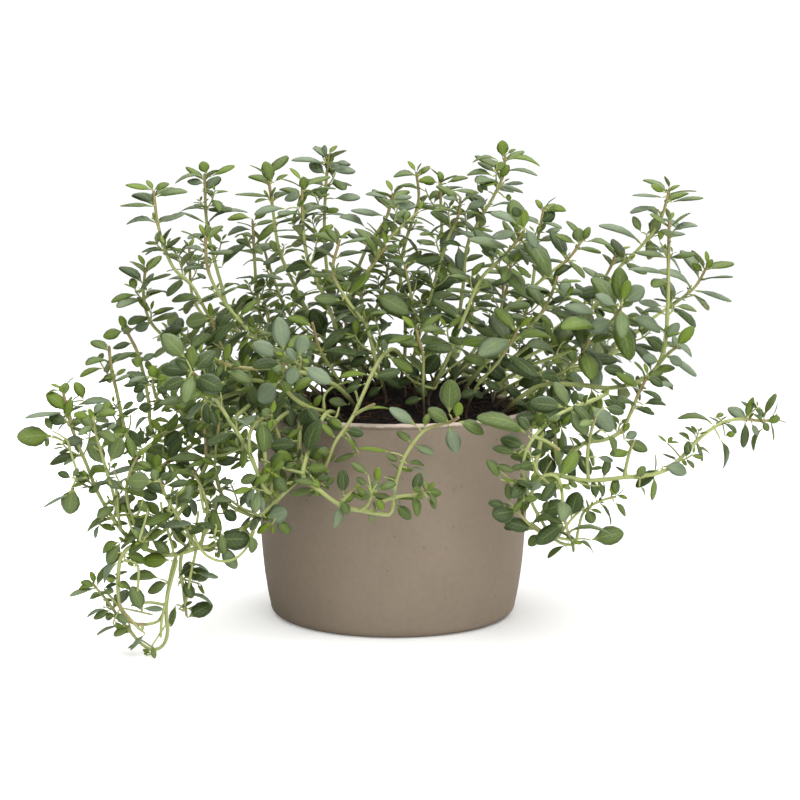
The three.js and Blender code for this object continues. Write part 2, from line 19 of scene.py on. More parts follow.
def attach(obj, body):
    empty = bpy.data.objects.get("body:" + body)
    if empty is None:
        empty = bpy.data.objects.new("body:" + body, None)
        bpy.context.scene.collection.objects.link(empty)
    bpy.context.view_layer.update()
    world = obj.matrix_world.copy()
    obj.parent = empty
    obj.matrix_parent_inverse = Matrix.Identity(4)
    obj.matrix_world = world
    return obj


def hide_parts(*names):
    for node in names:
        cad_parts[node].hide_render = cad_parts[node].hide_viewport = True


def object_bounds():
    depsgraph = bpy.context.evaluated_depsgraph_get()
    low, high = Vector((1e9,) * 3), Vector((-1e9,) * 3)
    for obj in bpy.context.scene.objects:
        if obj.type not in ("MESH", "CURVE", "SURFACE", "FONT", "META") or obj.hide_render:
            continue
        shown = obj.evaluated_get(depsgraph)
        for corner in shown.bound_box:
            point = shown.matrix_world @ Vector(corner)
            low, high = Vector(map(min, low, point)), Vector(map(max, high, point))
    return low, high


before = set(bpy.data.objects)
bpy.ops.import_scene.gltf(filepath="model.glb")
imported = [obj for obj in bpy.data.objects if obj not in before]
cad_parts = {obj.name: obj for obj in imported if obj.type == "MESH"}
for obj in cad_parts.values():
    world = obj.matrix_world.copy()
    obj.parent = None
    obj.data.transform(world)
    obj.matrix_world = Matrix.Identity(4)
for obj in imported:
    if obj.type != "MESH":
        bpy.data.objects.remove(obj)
cad_box = [list(corner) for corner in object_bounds()]
print("the model's box, in metres:", cad_box)

# %% [markdown]
# ## Sizes
#
# The pot is a common 12 cm herb pot. Its numbers are the CAD model's, apart from a rounder corner
# at the foot, so that the soil and the stems meet it where they should. Everything is planned in
# millimetres, the natural unit for leaves, and becomes metres when a mesh is made.

# %% Sizes of the pot and the soil
MM = 0.001
POT_HEIGHT = 91
POT_RIM_RADIUS = 60
POT_FOOT_RADIUS = 54
POT_BELLY_POWER = 3.7          # the higher, the longer the side stays upright
POT_CORNER = 4.5               # the radius at the foot's edge
POT_WALL = 2.4
POT_FLOOR = 3                  # its thickness
SOIL_EDGE = 83                 # the soil's height at the wall
SOIL_CROWN = 16                # how much higher its middle is
SOIL_SHOULDER = 1.5            # the higher, the more pointed the mound


def lerp(a, b, share):
    return a + (b - a) * share


def pot_radius(z):
    """The side's outer radius at a height: nearly upright above, turned in towards the foot."""
    depth = max(0, 1 - z / POT_HEIGHT)
    return POT_RIM_RADIUS - (POT_RIM_RADIUS - POT_FOOT_RADIUS) * depth ** POT_BELLY_POWER


def soil_top(radius):
    """The soil's height: a mound that stands above the rim in the middle."""
    edge = pot_radius(SOIL_EDGE) - POT_WALL
    return SOIL_EDGE + SOIL_CROWN * max(0, 1 - (radius / edge) ** 2) ** SOIL_SHOULDER


print("the pot's foot is", round(2 * pot_radius(0)), "mm across")

# %% [markdown]
# ## Routes of the stems
#
# A trailing plant is a tangle, so its stems are drawn one by one rather than scattered. Each route
# is written as it looks from the front: x and z where a point appears on the upright plane through
# the pot's axis, then the point's own depth y. Moving a point along its sight line changes its
# depth but not the picture, so the outline and the depths can be settled apart from each other.

# %% From a drawn point to its place
EYE = np.array([2.0, -829.0, 201.0])


def along(point):
    """The place of a drawn point: on the sight line through it, at its own depth."""
    x, z, depth = point
    drawn = np.array([x, 0.0, z])
    return EYE + (drawn - EYE) * (depth - EYE[1]) / -EYE[1]


print("10 mm drawn are", round(float(along((12, 201, 60))[0] - EYE[0]), 1), "mm at a depth of 60")


# %% The routes, in millimetres
# foot: where the stem leaves the soil, x and y; leaf: the length of its larger leaves;
# route: the main stem from foot to tip; shoots: side shoots that start on it; brown: the least
# share of brown on it, where its habit's isn't right; this brown is a painted shade, which
# darkens stems that hang in front
PLANTS = {
    # upright stems, from left to right
    "upright_01": dict(foot=(-26, -6), leaf=10, route=[(-45, 112, -8), (-66, 122, -10), (-79, 128, -11),
        (-88, 143, -12), (-96, 151, -12), (-102, 168, -12), (-104, 184, -12)]),
    "upright_02": dict(foot=(-22, 14), leaf=9, route=[(-40, 112, 18), (-58, 123, 21), (-71, 131, 23),
        (-76, 146, 24), (-81, 168, 24), (-82, 191, 23)]),
    "upright_03": dict(foot=(-30, -18), leaf=10, route=[(-48, 110, -24), (-64, 124, -28),
        (-76, 139, -30), (-81, 150, -32), (-82, 164, -34)]),
    "upright_04": dict(foot=(-36, 4), leaf=10, route=[(-52, 104, 3), (-78, 110, 2), (-96, 118, 0),
        (-106, 127, -2), (-109, 138, -4), (-108, 151, -5)]),
    "upright_05": dict(foot=(-14, 26), leaf=9, route=[(-30, 112, 30), (-48, 119, 33), (-58, 129, 34),
        (-60, 142, 35), (-61, 158, 35), (-61.5, 171, 35)]),
    "upright_06": dict(foot=(-16, 4), leaf=10, route=[(-26, 112, 5), (-36, 128, 6), (-44, 144, 6),
        (-50, 158, 6), (-53, 178, 5), (-55, 193, 4)]),
    "upright_07": dict(foot=(-8, 40), leaf=8, route=[(-28, 114, 46), (-46, 131, 50), (-53, 147, 52),
        (-57, 160, 53)]),
    "upright_08": dict(foot=(-28, 28), leaf=8, route=[(-52, 112, 42), (-74, 122, 50), (-87, 136, 54),
        (-89, 159, 56)]),
    "upright_09": dict(foot=(-8, -12), leaf=11, route=[(-20, 112, -15), (-31, 139, -18),
        (-38, 155, -20), (-40, 174, -21), (-40, 188, -21)]),
    "upright_10": dict(foot=(-8, 18), leaf=10, route=[(-20, 115, 23), (-28, 140, 26), (-30.5, 162, 27),
        (-30, 184, 27), (-28.5, 199.5, 26)]),
    "upright_11": dict(foot=(-4, -24), leaf=10, route=[(-8, 108, -30), (-13, 126, -34), (-21, 137, -36),
        (-27, 149, -37), (-24, 163, -38)]),
    "upright_12": dict(foot=(-4, 6), leaf=10, route=[(-12, 112, 9), (-18, 132, 12), (-17, 147, 12),
        (-12, 160, 11), (-4, 172, 10), (-1, 183, 9)], shoots=[
        [(-15, 122, 10), (-9, 132, 8), (-5, 142, 7), (-3, 153, 6)],
    ]),
    "upright_13": dict(foot=(4, -15), leaf=10, route=[(-6, 112, -19), (-14, 132, -22), (-14, 146, -23),
        (-9, 153, -24), (-4, 160, -25)], shoots=[
        [(-14, 143, -23), (-10, 152, -20), (-5, 161, -18), (2, 168, -17), (10, 175, -17)],
    ]),
    "upright_14": dict(foot=(2, 30), leaf=9, route=[(4, 112, 34), (4, 134, 36), (2, 150, 37),
        (5, 164, 37), (10, 180, 36), (9, 192, 35)]),
    "upright_15": dict(foot=(10, 14), leaf=9, route=[(16, 112, 16), (19, 140, 17), (20, 165, 17),
        (19, 190, 16)], shoots=[
        [(17, 125, 16), (20, 135, 11), (25, 146, 7), (31, 155, 3)],
    ]),
    "upright_16": dict(foot=(6, -5), leaf=10, route=[(8, 112, -7), (13, 131, -9), (18, 148, -11),
        (22, 162, -12), (27, 173, -13), (28, 181, -13)], shoots=[
        [(9, 118, -8), (8, 131, -12), (6, 143, -15), (4, 152, -17)],
    ]),
    "upright_17": dict(foot=(16, 3), leaf=11, route=[(24, 112, 2), (29, 140, 2), (31, 160, 2),
        (36, 171, 2), (42, 181, 2), (46.5, 191, 1), (47, 199, 0)]),
    "upright_18": dict(foot=(14, -22), leaf=13, route=[(22, 110, -28), (30, 130, -34), (37, 146, -39),
        (47, 156, -44), (53, 163, -50), (55.5, 167, -57)]),
    "upright_19": dict(foot=(22, 24), leaf=10, route=[(36, 112, 29), (53, 124, 32), (59, 142, 34),
        (61, 160, 34), (64, 177, 33)]),
    "upright_20": dict(foot=(22, 10), leaf=10, route=[(32, 112, 11), (44, 128, 12), (56, 139, 12),
        (66, 148, 11), (75, 155, 10), (82, 165, 9)]),
    "upright_21": dict(foot=(28, -12), leaf=11, route=[(38, 108, -17), (50, 118, -21), (61, 128, -24),
        (67, 138, -26), (70, 147, -28)]),
    "upright_22": dict(foot=(16, 38), leaf=9, route=[(34, 112, 46), (44, 128, 49), (48, 141, 50),
        (50, 153, 50)]),
    "upright_23": dict(foot=(32, 20), leaf=11, route=[(54, 110, 26), (76, 123, 29), (91, 141, 30),
        (96, 150, 29), (106, 160, 28), (114, 171, 27), (118, 185, 26)]),
    "upright_24": dict(foot=(40, 6), leaf=11, route=[(60, 104, 6), (76, 107, 6), (88, 110, 5),
        (97, 115, 4), (105, 123, 3), (113, 130, 2), (122, 136, 1), (130, 143, 0), (135, 152, -1)]),
    "upright_25": dict(foot=(34, -10), leaf=13, route=[(56, 107, -16), (74, 114, -23), (86, 122, -30),
        (94, 128, -36), (97, 132, -43), (98, 134.5, -51)]),
    "upright_26": dict(foot=(30, 33), leaf=9, route=[(54, 114, 42), (74, 128, 47), (86, 140, 49),
        (92, 149, 49), (96, 158, 48)]),

    # shorter stems that fill the middle
    "middle_01": dict(foot=(-18, -26), leaf=11, route=[(-26, 104, -31), (-33, 116, -37),
        (-36, 127, -43)]),
    "middle_02": dict(foot=(-12, -4), leaf=11, route=[(-14, 106, -3), (-15, 122, -2), (-20, 146, -3)]),
    "middle_03": dict(foot=(12, -34), leaf=11, route=[(12, 98, -38), (12, 112, -43), (9, 124, -48)]),
    "middle_04": dict(foot=(22, -6), leaf=11, route=[(34, 104, -8), (42, 118, -9), (46, 134, -10),
        (47, 146, -11)]),
    "middle_05": dict(foot=(30, -26), leaf=12, route=[(36, 100, -32), (44, 109, -38), (50, 118, -45),
        (53, 124, -51)]),
    "middle_06": dict(foot=(-32, -8), leaf=11, route=[(-52, 100, -12), (-66, 106, -15), (-76, 118, -18),
        (-80, 129, -22)]),
    "middle_07": dict(foot=(42, -8), leaf=12, route=[(60, 100, -12), (72, 105, -20), (80, 112, -28),
        (84, 119, -37)]),

    # stems that lean out over the back
    "back_01": dict(foot=(-34, 20), leaf=11, route=[(-58, 100, 40), (-76, 108, 58), (-92, 112, 72),
        (-98, 124, 82)]),
    "back_02": dict(foot=(-20, 36), leaf=11, route=[(-34, 106, 58), (-46, 112, 76), (-54, 124, 88),
        (-57, 138, 94)]),
    "back_03": dict(foot=(-4, 48), leaf=11, route=[(-8, 104, 66), (-14, 108, 84), (-20, 116, 98),
        (-22, 130, 104)]),
    "back_04": dict(foot=(14, 44), leaf=11, route=[(19, 106, 62), (27, 113, 82), (32, 124, 94),
        (34, 138, 98)]),
    "back_05": dict(foot=(38, 24), leaf=11, route=[(62, 103, 42), (78, 106, 58), (92, 112, 70),
        (100, 124, 76)]),
    "back_06": dict(foot=(28, 36), leaf=11, route=[(40, 104, 52), (50, 104, 66), (63, 101, 82),
        (76, 106, 96)]),
    "back_07": dict(foot=(-32, 32), leaf=11, route=[(-42, 102, 46), (-54, 103, 60), (-68, 97, 74),
        (-80, 99, 86)]),

    # stems that droop over the left side
    "left_long": dict(foot=(-31, -36), leaf=12, route=[(-40, 88.2, -47), (-42, 72, -60),
        (-41, 60.5, -64), (-46, 55, -66), (-52, 49, -69), (-59, 42.5, -73), (-67, 36, -76),
        (-75, 30.5, -77), (-82, 28.2, -78), (-88, 27.2, -78), (-95, 25, -78), (-101, 24.3, -77),
        (-107, 25.8, -76), (-113, 28.5, -75), (-119, 33.5, -74), (-125, 42, -72), (-131, 53, -70),
        (-135, 64, -68), (-139, 74, -66), (-142.5, 85, -64), (-145, 98, -62)], shoots=[
        [(-60, 41.5, -74), (-66, 43, -71), (-73, 47, -68), (-77, 53, -65), (-79, 62, -62),
         (-78.5, 72, -61), (-77, 83, -61)],
        [(-97, 25, -78), (-98.5, 18, -79), (-100.5, 8, -79.5), (-101.5, -2, -80), (-101, -11, -80),
         (-103.5, -17, -80), (-108, -18.5, -80), (-113, -15.5, -80), (-118, -9.5, -80), (-123, -3, -80),
         (-127, 3, -80), (-131, 8, -80), (-134, 12, -80)],
        [(-95, 25, -78), (-95, 17, -75), (-93.8, 10, -73), (-93, 2, -72), (-92.5, -3, -72)],
        [(-88, 27, -78), (-91, 34, -81), (-96, 42, -84), (-100.5, 50, -87), (-103, 57, -91)],
        [(-86, 27.5, -78), (-84, 36, -75), (-82.5, 45, -73), (-85, 54, -73), (-89, 62, -74)],
        [(-113, 28.5, -75), (-114, 36, -77), (-117, 45, -79), (-118, 54, -80), (-116, 62, -81),
         (-113, 68, -83)],
        [(-121, 36, -73), (-123, 48, -76), (-126, 60, -79), (-129, 71, -81), (-131, 79, -84),
         (-131.5, 83.5, -89)],
    ]),
    "left_hook": dict(foot=(-45, -16), leaf=10, route=[(-57, 94, -21), (-67, 88, -36), (-76, 78, -49),
        (-84, 62, -59), (-93, 46, -68), (-102, 35, -79), (-110, 30.5, -83), (-117, 28, -85),
        (-121, 23, -85), (-122.3, 15, -84), (-122.5, 6, -84), (-121, -1, -84), (-116, -6.5, -84),
        (-110, -7, -84)]),
    "left_high": dict(foot=(-42, -6), leaf=11, route=[(-54, 97, -10), (-66, 97, -17), (-76, 94, -25),
        (-84, 89, -33), (-91, 83.5, -40), (-100, 79, -45), (-107, 73.5, -48), (-113.5, 69.5, -50),
        (-117, 76, -51), (-119.5, 86, -52), (-121.5, 97, -52), (-123.5, 106, -52),
        (-124.5, 117, -52)], shoots=[
        [(-91, 83.5, -40), (-94, 88, -43), (-99, 91, -46), (-104, 94, -49), (-105.5, 99, -54),
         (-105.5, 102.5, -60)],
    ]),
    "left_thin": dict(foot=(-45, 8), leaf=9, route=[(-58, 97, 9), (-74, 92, 8), (-88, 84, 5),
        (-98, 76, 2), (-104, 75.5, 0), (-107, 83, -2), (-107.6, 92, -3), (-109, 101, -4),
        (-110.5, 108, -5), (-112.5, 115, -6), (-117, 124, -7)]),
    "left_bow": dict(foot=(-36, -16), leaf=11, route=[(-50, 99, -22), (-66, 102, -32), (-78, 99, -43),
        (-83.5, 92, -51), (-84, 84, -55), (-83, 76, -57), (-83, 68, -59)]),
    "left_rosette": dict(foot=(-36, -33), leaf=13, route=[(-46, 88, -44), (-56, 78, -56),
        (-57, 66, -68), (-54.5, 56, -75), (-55, 52, -77), (-58, 55, -79), (-60.5, 61, -79),
        (-64, 70, -79), (-68, 77, -78), (-73, 85, -77), (-78, 93, -76), (-83, 100, -77),
        (-87, 104, -81), (-88.5, 105.5, -88)], shoots=[
        [(-63.5, 69, -79), (-64, 75, -81), (-63, 80, -82), (-60, 84, -83), (-56.5, 85.5, -85),
         (-54, 86.5, -89)],
    ]),
    "left_low": dict(foot=(-46, -2), leaf=11, route=[(-60, 94, -4), (-72, 88, -12), (-84, 78, -24),
        (-93, 70, -36), (-99, 66, -46), (-102, 64.5, -56)]),

    # stems that fall over the front
    "front_pair": dict(foot=(-25, -33), leaf=14, route=[(-31, 88, -46), (-38, 90, -56), (-43, 93, -62),
        (-47, 97, -67), (-49, 103, -71), (-48.5, 109, -76), (-48, 113, -83)], shoots=[
        [(-47, 97, -67), (-44.5, 102, -73), (-42, 107, -80), (-41, 111.5, -90)],
    ]),
    "front_left": dict(foot=(-16, -34), leaf=11, route=[(-24, 98, -44), (-36, 104, -54),
        (-50, 107, -62), (-62, 107, -68), (-72, 108, -72), (-76, 110, -77)]),
    "front_arch": dict(foot=(8, -26), leaf=10, brown=0.3, route=[(9, 105, -31), (4, 110.5, -36),
        (-1, 115.5, -42), (-6, 112, -48), (-10, 105, -53), (-14, 96, -58), (-18, 87, -62),
        (-22, 80.5, -66), (-26, 75, -69), (-29, 68, -71), (-31.5, 61, -72), (-34, 54, -73)], shoots=[
        [(-18, 87, -62), (-14, 89, -65), (-9, 91.5, -68)],
    ]),
    "front_long": dict(foot=(-22, -40), leaf=11, route=[(-29, 88, -51), (-35, 79, -63), (-39, 68, -70),
        (-40.5, 60, -74), (-38, 56.5, -77), (-33, 53, -78), (-28, 49, -79), (-22, 45.5, -80),
        (-14, 44, -81), (-7, 42.8, -81), (-2.5, 42.5, -81), (-0.8, 47, -80), (-0.3, 54, -79),
        (1.5, 61.5, -78), (4.5, 69, -77), (8.5, 75, -76), (13, 80, -75), (19, 82.3, -75),
        (24, 83.5, -79), (27.5, 85.5, -86)], shoots=[
        [(-17, 44.5, -81), (-13, 46, -84), (-11, 49, -88), (-10.5, 52, -94)],
        [(-11, 43.5, -81), (-5, 48.5, -83), (3, 50.7, -84), (9, 51.2, -86), (14, 53, -90)],
        [(-25, 47, -80), (-22, 50, -83), (-18, 54, -86)],
    ]),
    "front_hang": dict(foot=(-42, -26), leaf=8, route=[(-51, 90, -36), (-52.5, 82, -49), (-50, 75, -56),
        (-47.5, 69, -58), (-45.5, 64, -59)]),

    # stems that droop over the right side
    "right_crown": dict(foot=(45, -18), leaf=14, route=[(62, 99, -26), (78, 100, -34), (93, 98.5, -40),
        (102, 100, -42), (109, 103, -43), (114, 108, -44), (117, 117, -44), (118, 132, -43),
        (118, 148, -42), (118, 171, -40)], shoots=[
        [(93, 98.5, -40), (92, 96, -50), (87, 93.5, -60), (79, 90.5, -69), (70, 86, -76),
         (61.5, 78, -80), (57, 70, -81), (56, 61, -80), (58.5, 51, -79), (64, 40, -77), (70, 31.5, -75),
         (75, 29, -74), (79, 29.5, -73), (80.5, 36, -72), (83, 44, -71), (90, 48.5, -70),
         (97, 50.5, -70)],
        [(60.5, 77, -80), (66, 75, -82), (72, 71, -85)],
        [(58.5, 51, -79), (62, 56.5, -81), (66, 60, -83), (71, 59, -84), (73, 53, -84), (73.5, 45, -84),
         (75, 38, -83), (77, 31, -82)],
        [(70, 31.5, -75), (63, 35, -77), (57.5, 39.5, -79), (54, 43.5, -80)],
        [(56.5, 58, -80), (52, 56, -84)],
        [(114, 108, -44), (118, 113, -50), (123, 117, -59)],
    ]),
    "right_knee": dict(foot=(48, 0), leaf=13, route=[(61, 94, -8), (68, 86, -26), (70, 74, -42),
        (71.5, 66, -52), (74.5, 66.5, -56), (78.5, 72, -58), (84, 74.5, -58), (91, 75.5, -57),
        (98, 79, -56), (102.5, 87, -55), (106, 96, -54), (110, 104, -55)]),
    "right_long": dict(foot=(48, -10), leaf=11, route=[(59, 91, -20), (64, 84, -40), (63, 72, -58),
        (61.5, 62, -69), (64, 59, -72), (69, 60.3, -73), (76, 58.8, -72), (84, 57.6, -70),
        (92, 58, -67), (100, 59, -64), (108, 59.7, -61), (115, 60.8, -58), (120, 63, -56),
        (124, 66.5, -54), (128, 71, -52), (133, 76.3, -49), (139, 81, -46), (145, 84, -43),
        (152, 84.8, -39), (160, 84, -35), (166, 84.5, -32)], shoots=[
        [(84, 57.6, -70), (84, 66, -72), (84.5, 74, -73), (86, 81, -76), (87.5, 86, -82)],
        [(101, 59, -64), (101.5, 66, -66), (103, 72, -69), (104.5, 75.5, -74)],
    ]),
}

print(len(PLANTS), "plants with", sum(len(p.get("shoots", [])) for p in PLANTS.values()),
      "drawn side shoots")

# %% [markdown]
# ## Smooth paths
#
# A stem bends evenly, so a curve is laid through the drawn points: a centripetal Catmull-Rom curve,
# which passes through each point without overshooting where points lie close together. It is then
# cut into equal steps, and a side direction is carried along it, so that leaves can be turned about
# the stem by exact quarter turns.

# %% Curves through points
FINE_STEPS = 12                # between two given points, before the curve is cut evenly
TAPER = 0.4                    # less than 1, so that a stem thickens soon below its tip


def smooth_path(points, step):
    """Points in equal steps along the curve through the given ones."""
    p = np.array(points, float)
    p = np.vstack([2 * p[0] - p[1], p, 2 * p[-1] - p[-2]])
    fine = [p[1]]
    for a, b, c, d in zip(p, p[1:], p[2:], p[3:]):
        before, span, after = (math.sqrt(math.dist(*ends)) for ends in ((a, b), (b, c), (c, d)))
        start = ((b - a) / before - (c - a) / (before + span) + (c - b) / span) * span
        end = ((c - b) / span - (d - b) / (span + after) + (d - c) / after) * span
        for s in np.linspace(0, 1, FINE_STEPS + 1)[1:]:
            fine.append(b + start * s + (3 * (c - b) - 2 * start - end) * s ** 2
                        + (2 * (b - c) + start + end) * s ** 3)
    fine = np.array(fine)
    run = np.concatenate([[0], np.cumsum(np.linalg.norm(np.diff(fine, axis=0), axis=1))])
    even = np.linspace(0, run[-1], max(3, round(run[-1] / step)) + 1)
    return np.column_stack([np.interp(even, run, fine[:, k]) for k in range(3)])


class Stem:
    """A path in equal steps, with a thickness and two directions at every place on it."""

    def __init__(self, points, foot_radius, tip_radius, step=2.0, green=0.0, woody=False,
                 brown=0.0):
        """green is the share of the flushed tip that stays green; a woody stem is brown below,
        and brown is the least share of brown anywhere on it, a painted shade on stems that hang in
        front and to the sides."""
        path = smooth_path(points, step)
        self.green, self.woody, self.brown = green, woody, brown
        self.path = [Vector(p) for p in path]
        self.step = math.dist(path[0], path[1])
        self.length = self.step * (len(path) - 1)
        self.foot_radius, self.tip_radius = foot_radius, tip_radius
        self.ahead = [(b - a).normalized() for a, b in zip(self.path, self.path[1:])]
        side = self.ahead[0].orthogonal().normalized()
        self.sides = []
        for ahead in self.ahead:
            side = (side - ahead * side.dot(ahead)).normalized()
            self.sides.append(side)
        self.joints = []

    def at(self, distance):
        """Place, direction towards the tip, and side direction, a distance before the tip."""
        steps = min(max((self.length - distance) / self.step, 0), len(self.ahead) - 0.001)
        i = int(steps)
        return self.path[i].lerp(self.path[i + 1], steps - i), self.ahead[i], self.sides[i]

    def radius(self, distance):
        return lerp(self.tip_radius, self.foot_radius, (distance / self.length) ** TAPER)


# %% [markdown]
# ## How thyme grows
#
# Thyme's leaves sit in opposite pairs, each pair a quarter turn from the next. The youngest, at the
# tip, are small, upright and close together; going down they spread and their joints move apart to
# about 13 mm. In the corner over an older leaf often sits a tuft or a short shoot with smaller
# leaves. These few rules, with a little chance in each number, dress every stem of the plant.

# %% Where a leaf may be
PAST_BOX = 6                   # how far a leaf may reach past the model's box
LOW = np.array(cad_box[0]) / MM - PAST_BOX
HIGH = np.array(cad_box[1]) / MM + PAST_BOX
FLOOR_CLEARANCE = 0.8
RIM_CLEARANCE = 0.4
WALL_CLEARANCE = 0.5
SOIL_CLEARANCE = 1
print("leaves may be between", LOW.round(), "and", HIGH.round())


def is_free(spots):
    """True if no spot is in the pot's wall, the soil or the floor, or far outside the model."""
    for spot in spots:
        if spot.z < FLOOR_CLEARANCE or not all(
                low <= value <= high for value, low, high in zip(spot, LOW, HIGH)):
            return False
        if spot.z < POT_HEIGHT + RIM_CLEARANCE:
            radius, wall = math.hypot(spot.x, spot.y), pot_radius(spot.z)
            inside = wall - POT_WALL - WALL_CLEARANCE
            if inside < radius < wall + WALL_CLEARANCE \
                    or radius <= inside and spot.z < soil_top(radius) + SOIL_CLEARANCE:
                return False
    return True


# %% The tone of a leaf
# painted shade: leaves low in the plant over the pot, and some beside it, are given a deeper green tone
# in place of the shade they sit in
SHADE_TOP = 140                # above this height no leaf is in the shade of the others
SHADE_DEPTH = 50               # this much lower, each leaf over the pot is a deep green
SHADE_BESIDE_POT = 0.45        # chance of a deep green there
SHADE_TONES = (0.6, 0.9)


def beside_pot(x, z):
    """True before the pot's side and to its right, where leaves get less light from above."""
    return x > -POT_RIM_RADIUS and z < POT_HEIGHT


def in_shade(rng, place):
    """Whether a leaf gets a painted shade, by chance: ever more likely further down in the plant, and
    sometimes beside the pot.
    """
    return (place.y > -POT_RIM_RADIUS and rng.random() < (SHADE_TOP - place.z) / SHADE_DEPTH
            or beside_pot(place.x, place.z) and rng.random() < SHADE_BESIDE_POT)


# %% One leaf
SHAPES = 6                     # how many leaf shapes there are, from a bud to an old leaf
YOUNG, HALF_GROWN = 0.25, 0.6  # ages, where 1 is full-grown
BUD_SHAPE, BUD_TONE = 0, 0.75
# how far a leaf is turned aside, in radians, and to what share it shrinks, until it has room
TRIES = ((0, 1), (0.5, 1), (-0.5, 1), (1.0, 0.85), (-1.0, 0.85), (0, 0.55))
# where room is looked for: along the leaf and to its side, in shares of its length
PROBES = ((0.3, 0), (0.6, 0.25), (0.6, -0.25), (1, 0))


class Plant:
    """All that grows from one foot: its stems, and a row of numbers for each leaf."""

    def __init__(self, name, number, brown):
        self.name = name
        self.rng = random.Random(1000 + number)
        # its stems' least brown is a painted shade, on those that hang in front and to the sides
        self.brown = brown         # the least share of brown on its stems
        self.stems = []
        self.leaves = []


def turn_to(across, out, face):
    """The turn that lays a leaf's width, length and upper side along three directions."""
    return Matrix((across, out, face)).transposed().to_quaternion()


def add_leaf(plant, base, out, face, length, width, age, bud=False):
    """Sets a leaf down at base. out is its direction and face its upper side, if there is room."""
    rng = plant.rng
    tone, pick = rng.random(), rng.random()
    for bend, share in TRIES:
        way = (Quaternion(face, bend) @ out).normalized()
        up = face - way * face.dot(way)
        if up.length < 0.1:
            continue
        up.normalize()
        across = way.cross(up)
        size = length * share
        if is_free([base + way * size * far + across * size * wide for far, wide in PROBES]):
            young = 0 if age < YOUNG else 1 if age < HALF_GROWN else 2
            shape = min(SHAPES - 1, young + int(pick * (SHAPES - 2))) if age > YOUNG else 1
            if bud:
                shape, tone = BUD_SHAPE, BUD_TONE
            elif in_shade(rng, base):
                tone = lerp(*SHADE_TONES, tone)
            plant.leaves.append((*base, *turn_to(across, way, up), size, width, tone, age, shape))
            return


# %% The leaves and shoots of a stem
JOINT_GAPS = (2.6, 5.0, 7.5, 11.0, 12.5, 13.0)     # from the tip's pair to the next, and so on
SHOOT_GAPS = (1.2, 2.4, 3.6, 4.5, 6.0, 7.0)
YOUNG_LEAVES = (0.48, 0.9, 1.1, 1.08, 1.0)         # of the full length, from the tip down
YOUNG_LIFTS = (46, 25, 15, 8, 4)                   # degrees above the stem's square
SHOOTS_FROM = 3                                    # joints below the tip
SHOOT = (5, 15), (0.55, 0.75)                      # its length; its leaves' size against the stem's
TUFT = (1.5, 5.0), (0.35, 0.55)
SHOOT_RADII = 0.36, 0.24                           # at its foot and at its tip
BUD_LENGTH, BUD_WIDTH, BUD_CHANCE = 2.4, 1.3, 0.4


def at_joint(row, joint):
    """A row's number for a joint. The last one is for all the joints that follow, too."""
    return row[min(joint, len(row) - 1)]


def dress(plant, stem, leaf, light, style, level=0, pairs=math.inf, bare=0):
    """Grows the leaf pairs of a stem from its tip down, with small shoots in their corners."""
    rng = plant.rng
    plant.stems.append(stem)
    distance, joint, quarter = 0.2, 0, rng.randrange(2)
    while joint < pairs and distance <= max(stem.length - bare, 0.3):
        place, ahead, side = stem.at(distance)
        stem.joints.append(distance)
        ripe = min(1, (joint + 0.5) / 3)
        lift = math.radians(at_joint(YOUNG_LIFTS, joint)) + rng.uniform(-0.2, 0.25)
        for half in (0, 1):
            around = (joint + quarter) * math.pi / 2 + half * math.pi + rng.uniform(-0.25, 0.25)
            radial = Quaternion(ahead, around) @ side
            out = radial * math.cos(lift) + ahead * math.sin(lift) + light * 0.12 * ripe
            face = ahead.lerp(light, 0.35 + 0.35 * ripe)
            size = leaf * at_joint(YOUNG_LEAVES, joint) * rng.uniform(0.82, 1.15)
            base = place + radial * stem.radius(distance) * 0.5
            width = rng.uniform(0.9, 1.1) * lerp(0.82, 1, ripe)
            add_leaf(plant, base, out.normalized(), face, size, width,
                     ripe if level == 0 else ripe * 0.8)
            if level == 0 and 1 <= joint <= SHOOTS_FROM and rng.random() < BUD_CHANCE:
                add_leaf(plant, base, (radial + ahead * 1.2).normalized(), face, BUD_LENGTH,
                         BUD_WIDTH, 1, bud=True)
            if level == 0 and joint >= SHOOTS_FROM:
                chance = rng.random()
                if chance < style["shoots"] + style["tufts"]:
                    lengths, sizes = SHOOT if chance < style["shoots"] else TUFT
                    grow_side_shoot(plant, place, ahead, radial, light, style,
                                    rng.uniform(*lengths), leaf * rng.uniform(*sizes))
        gap = at_joint(SHOOT_GAPS if level else JOINT_GAPS, joint)
        distance += gap * rng.uniform(0.85, 1.15)
        joint += 1


def grow_side_shoot(plant, place, ahead, radial, light, style, length, leaf):
    """A short shoot from a leaf's corner, which starts aslant and turns to the light."""
    start = (ahead * 0.75 + radial).normalized()
    end = (ahead * 0.8 + radial * 0.45 + light * 0.6).normalized()
    points = [place + (start * s + (end - start) * s * s / 2) * length for s in (0, 0.35, 0.7, 1)]
    if is_free(points[1:]):
        shoot = Stem(points, *SHOOT_RADII, step=1.5, green=0.7, brown=plant.brown)
        dress(plant, shoot, leaf, light, style, level=1, pairs=1 if length < 2 else 4, bare=1.5)
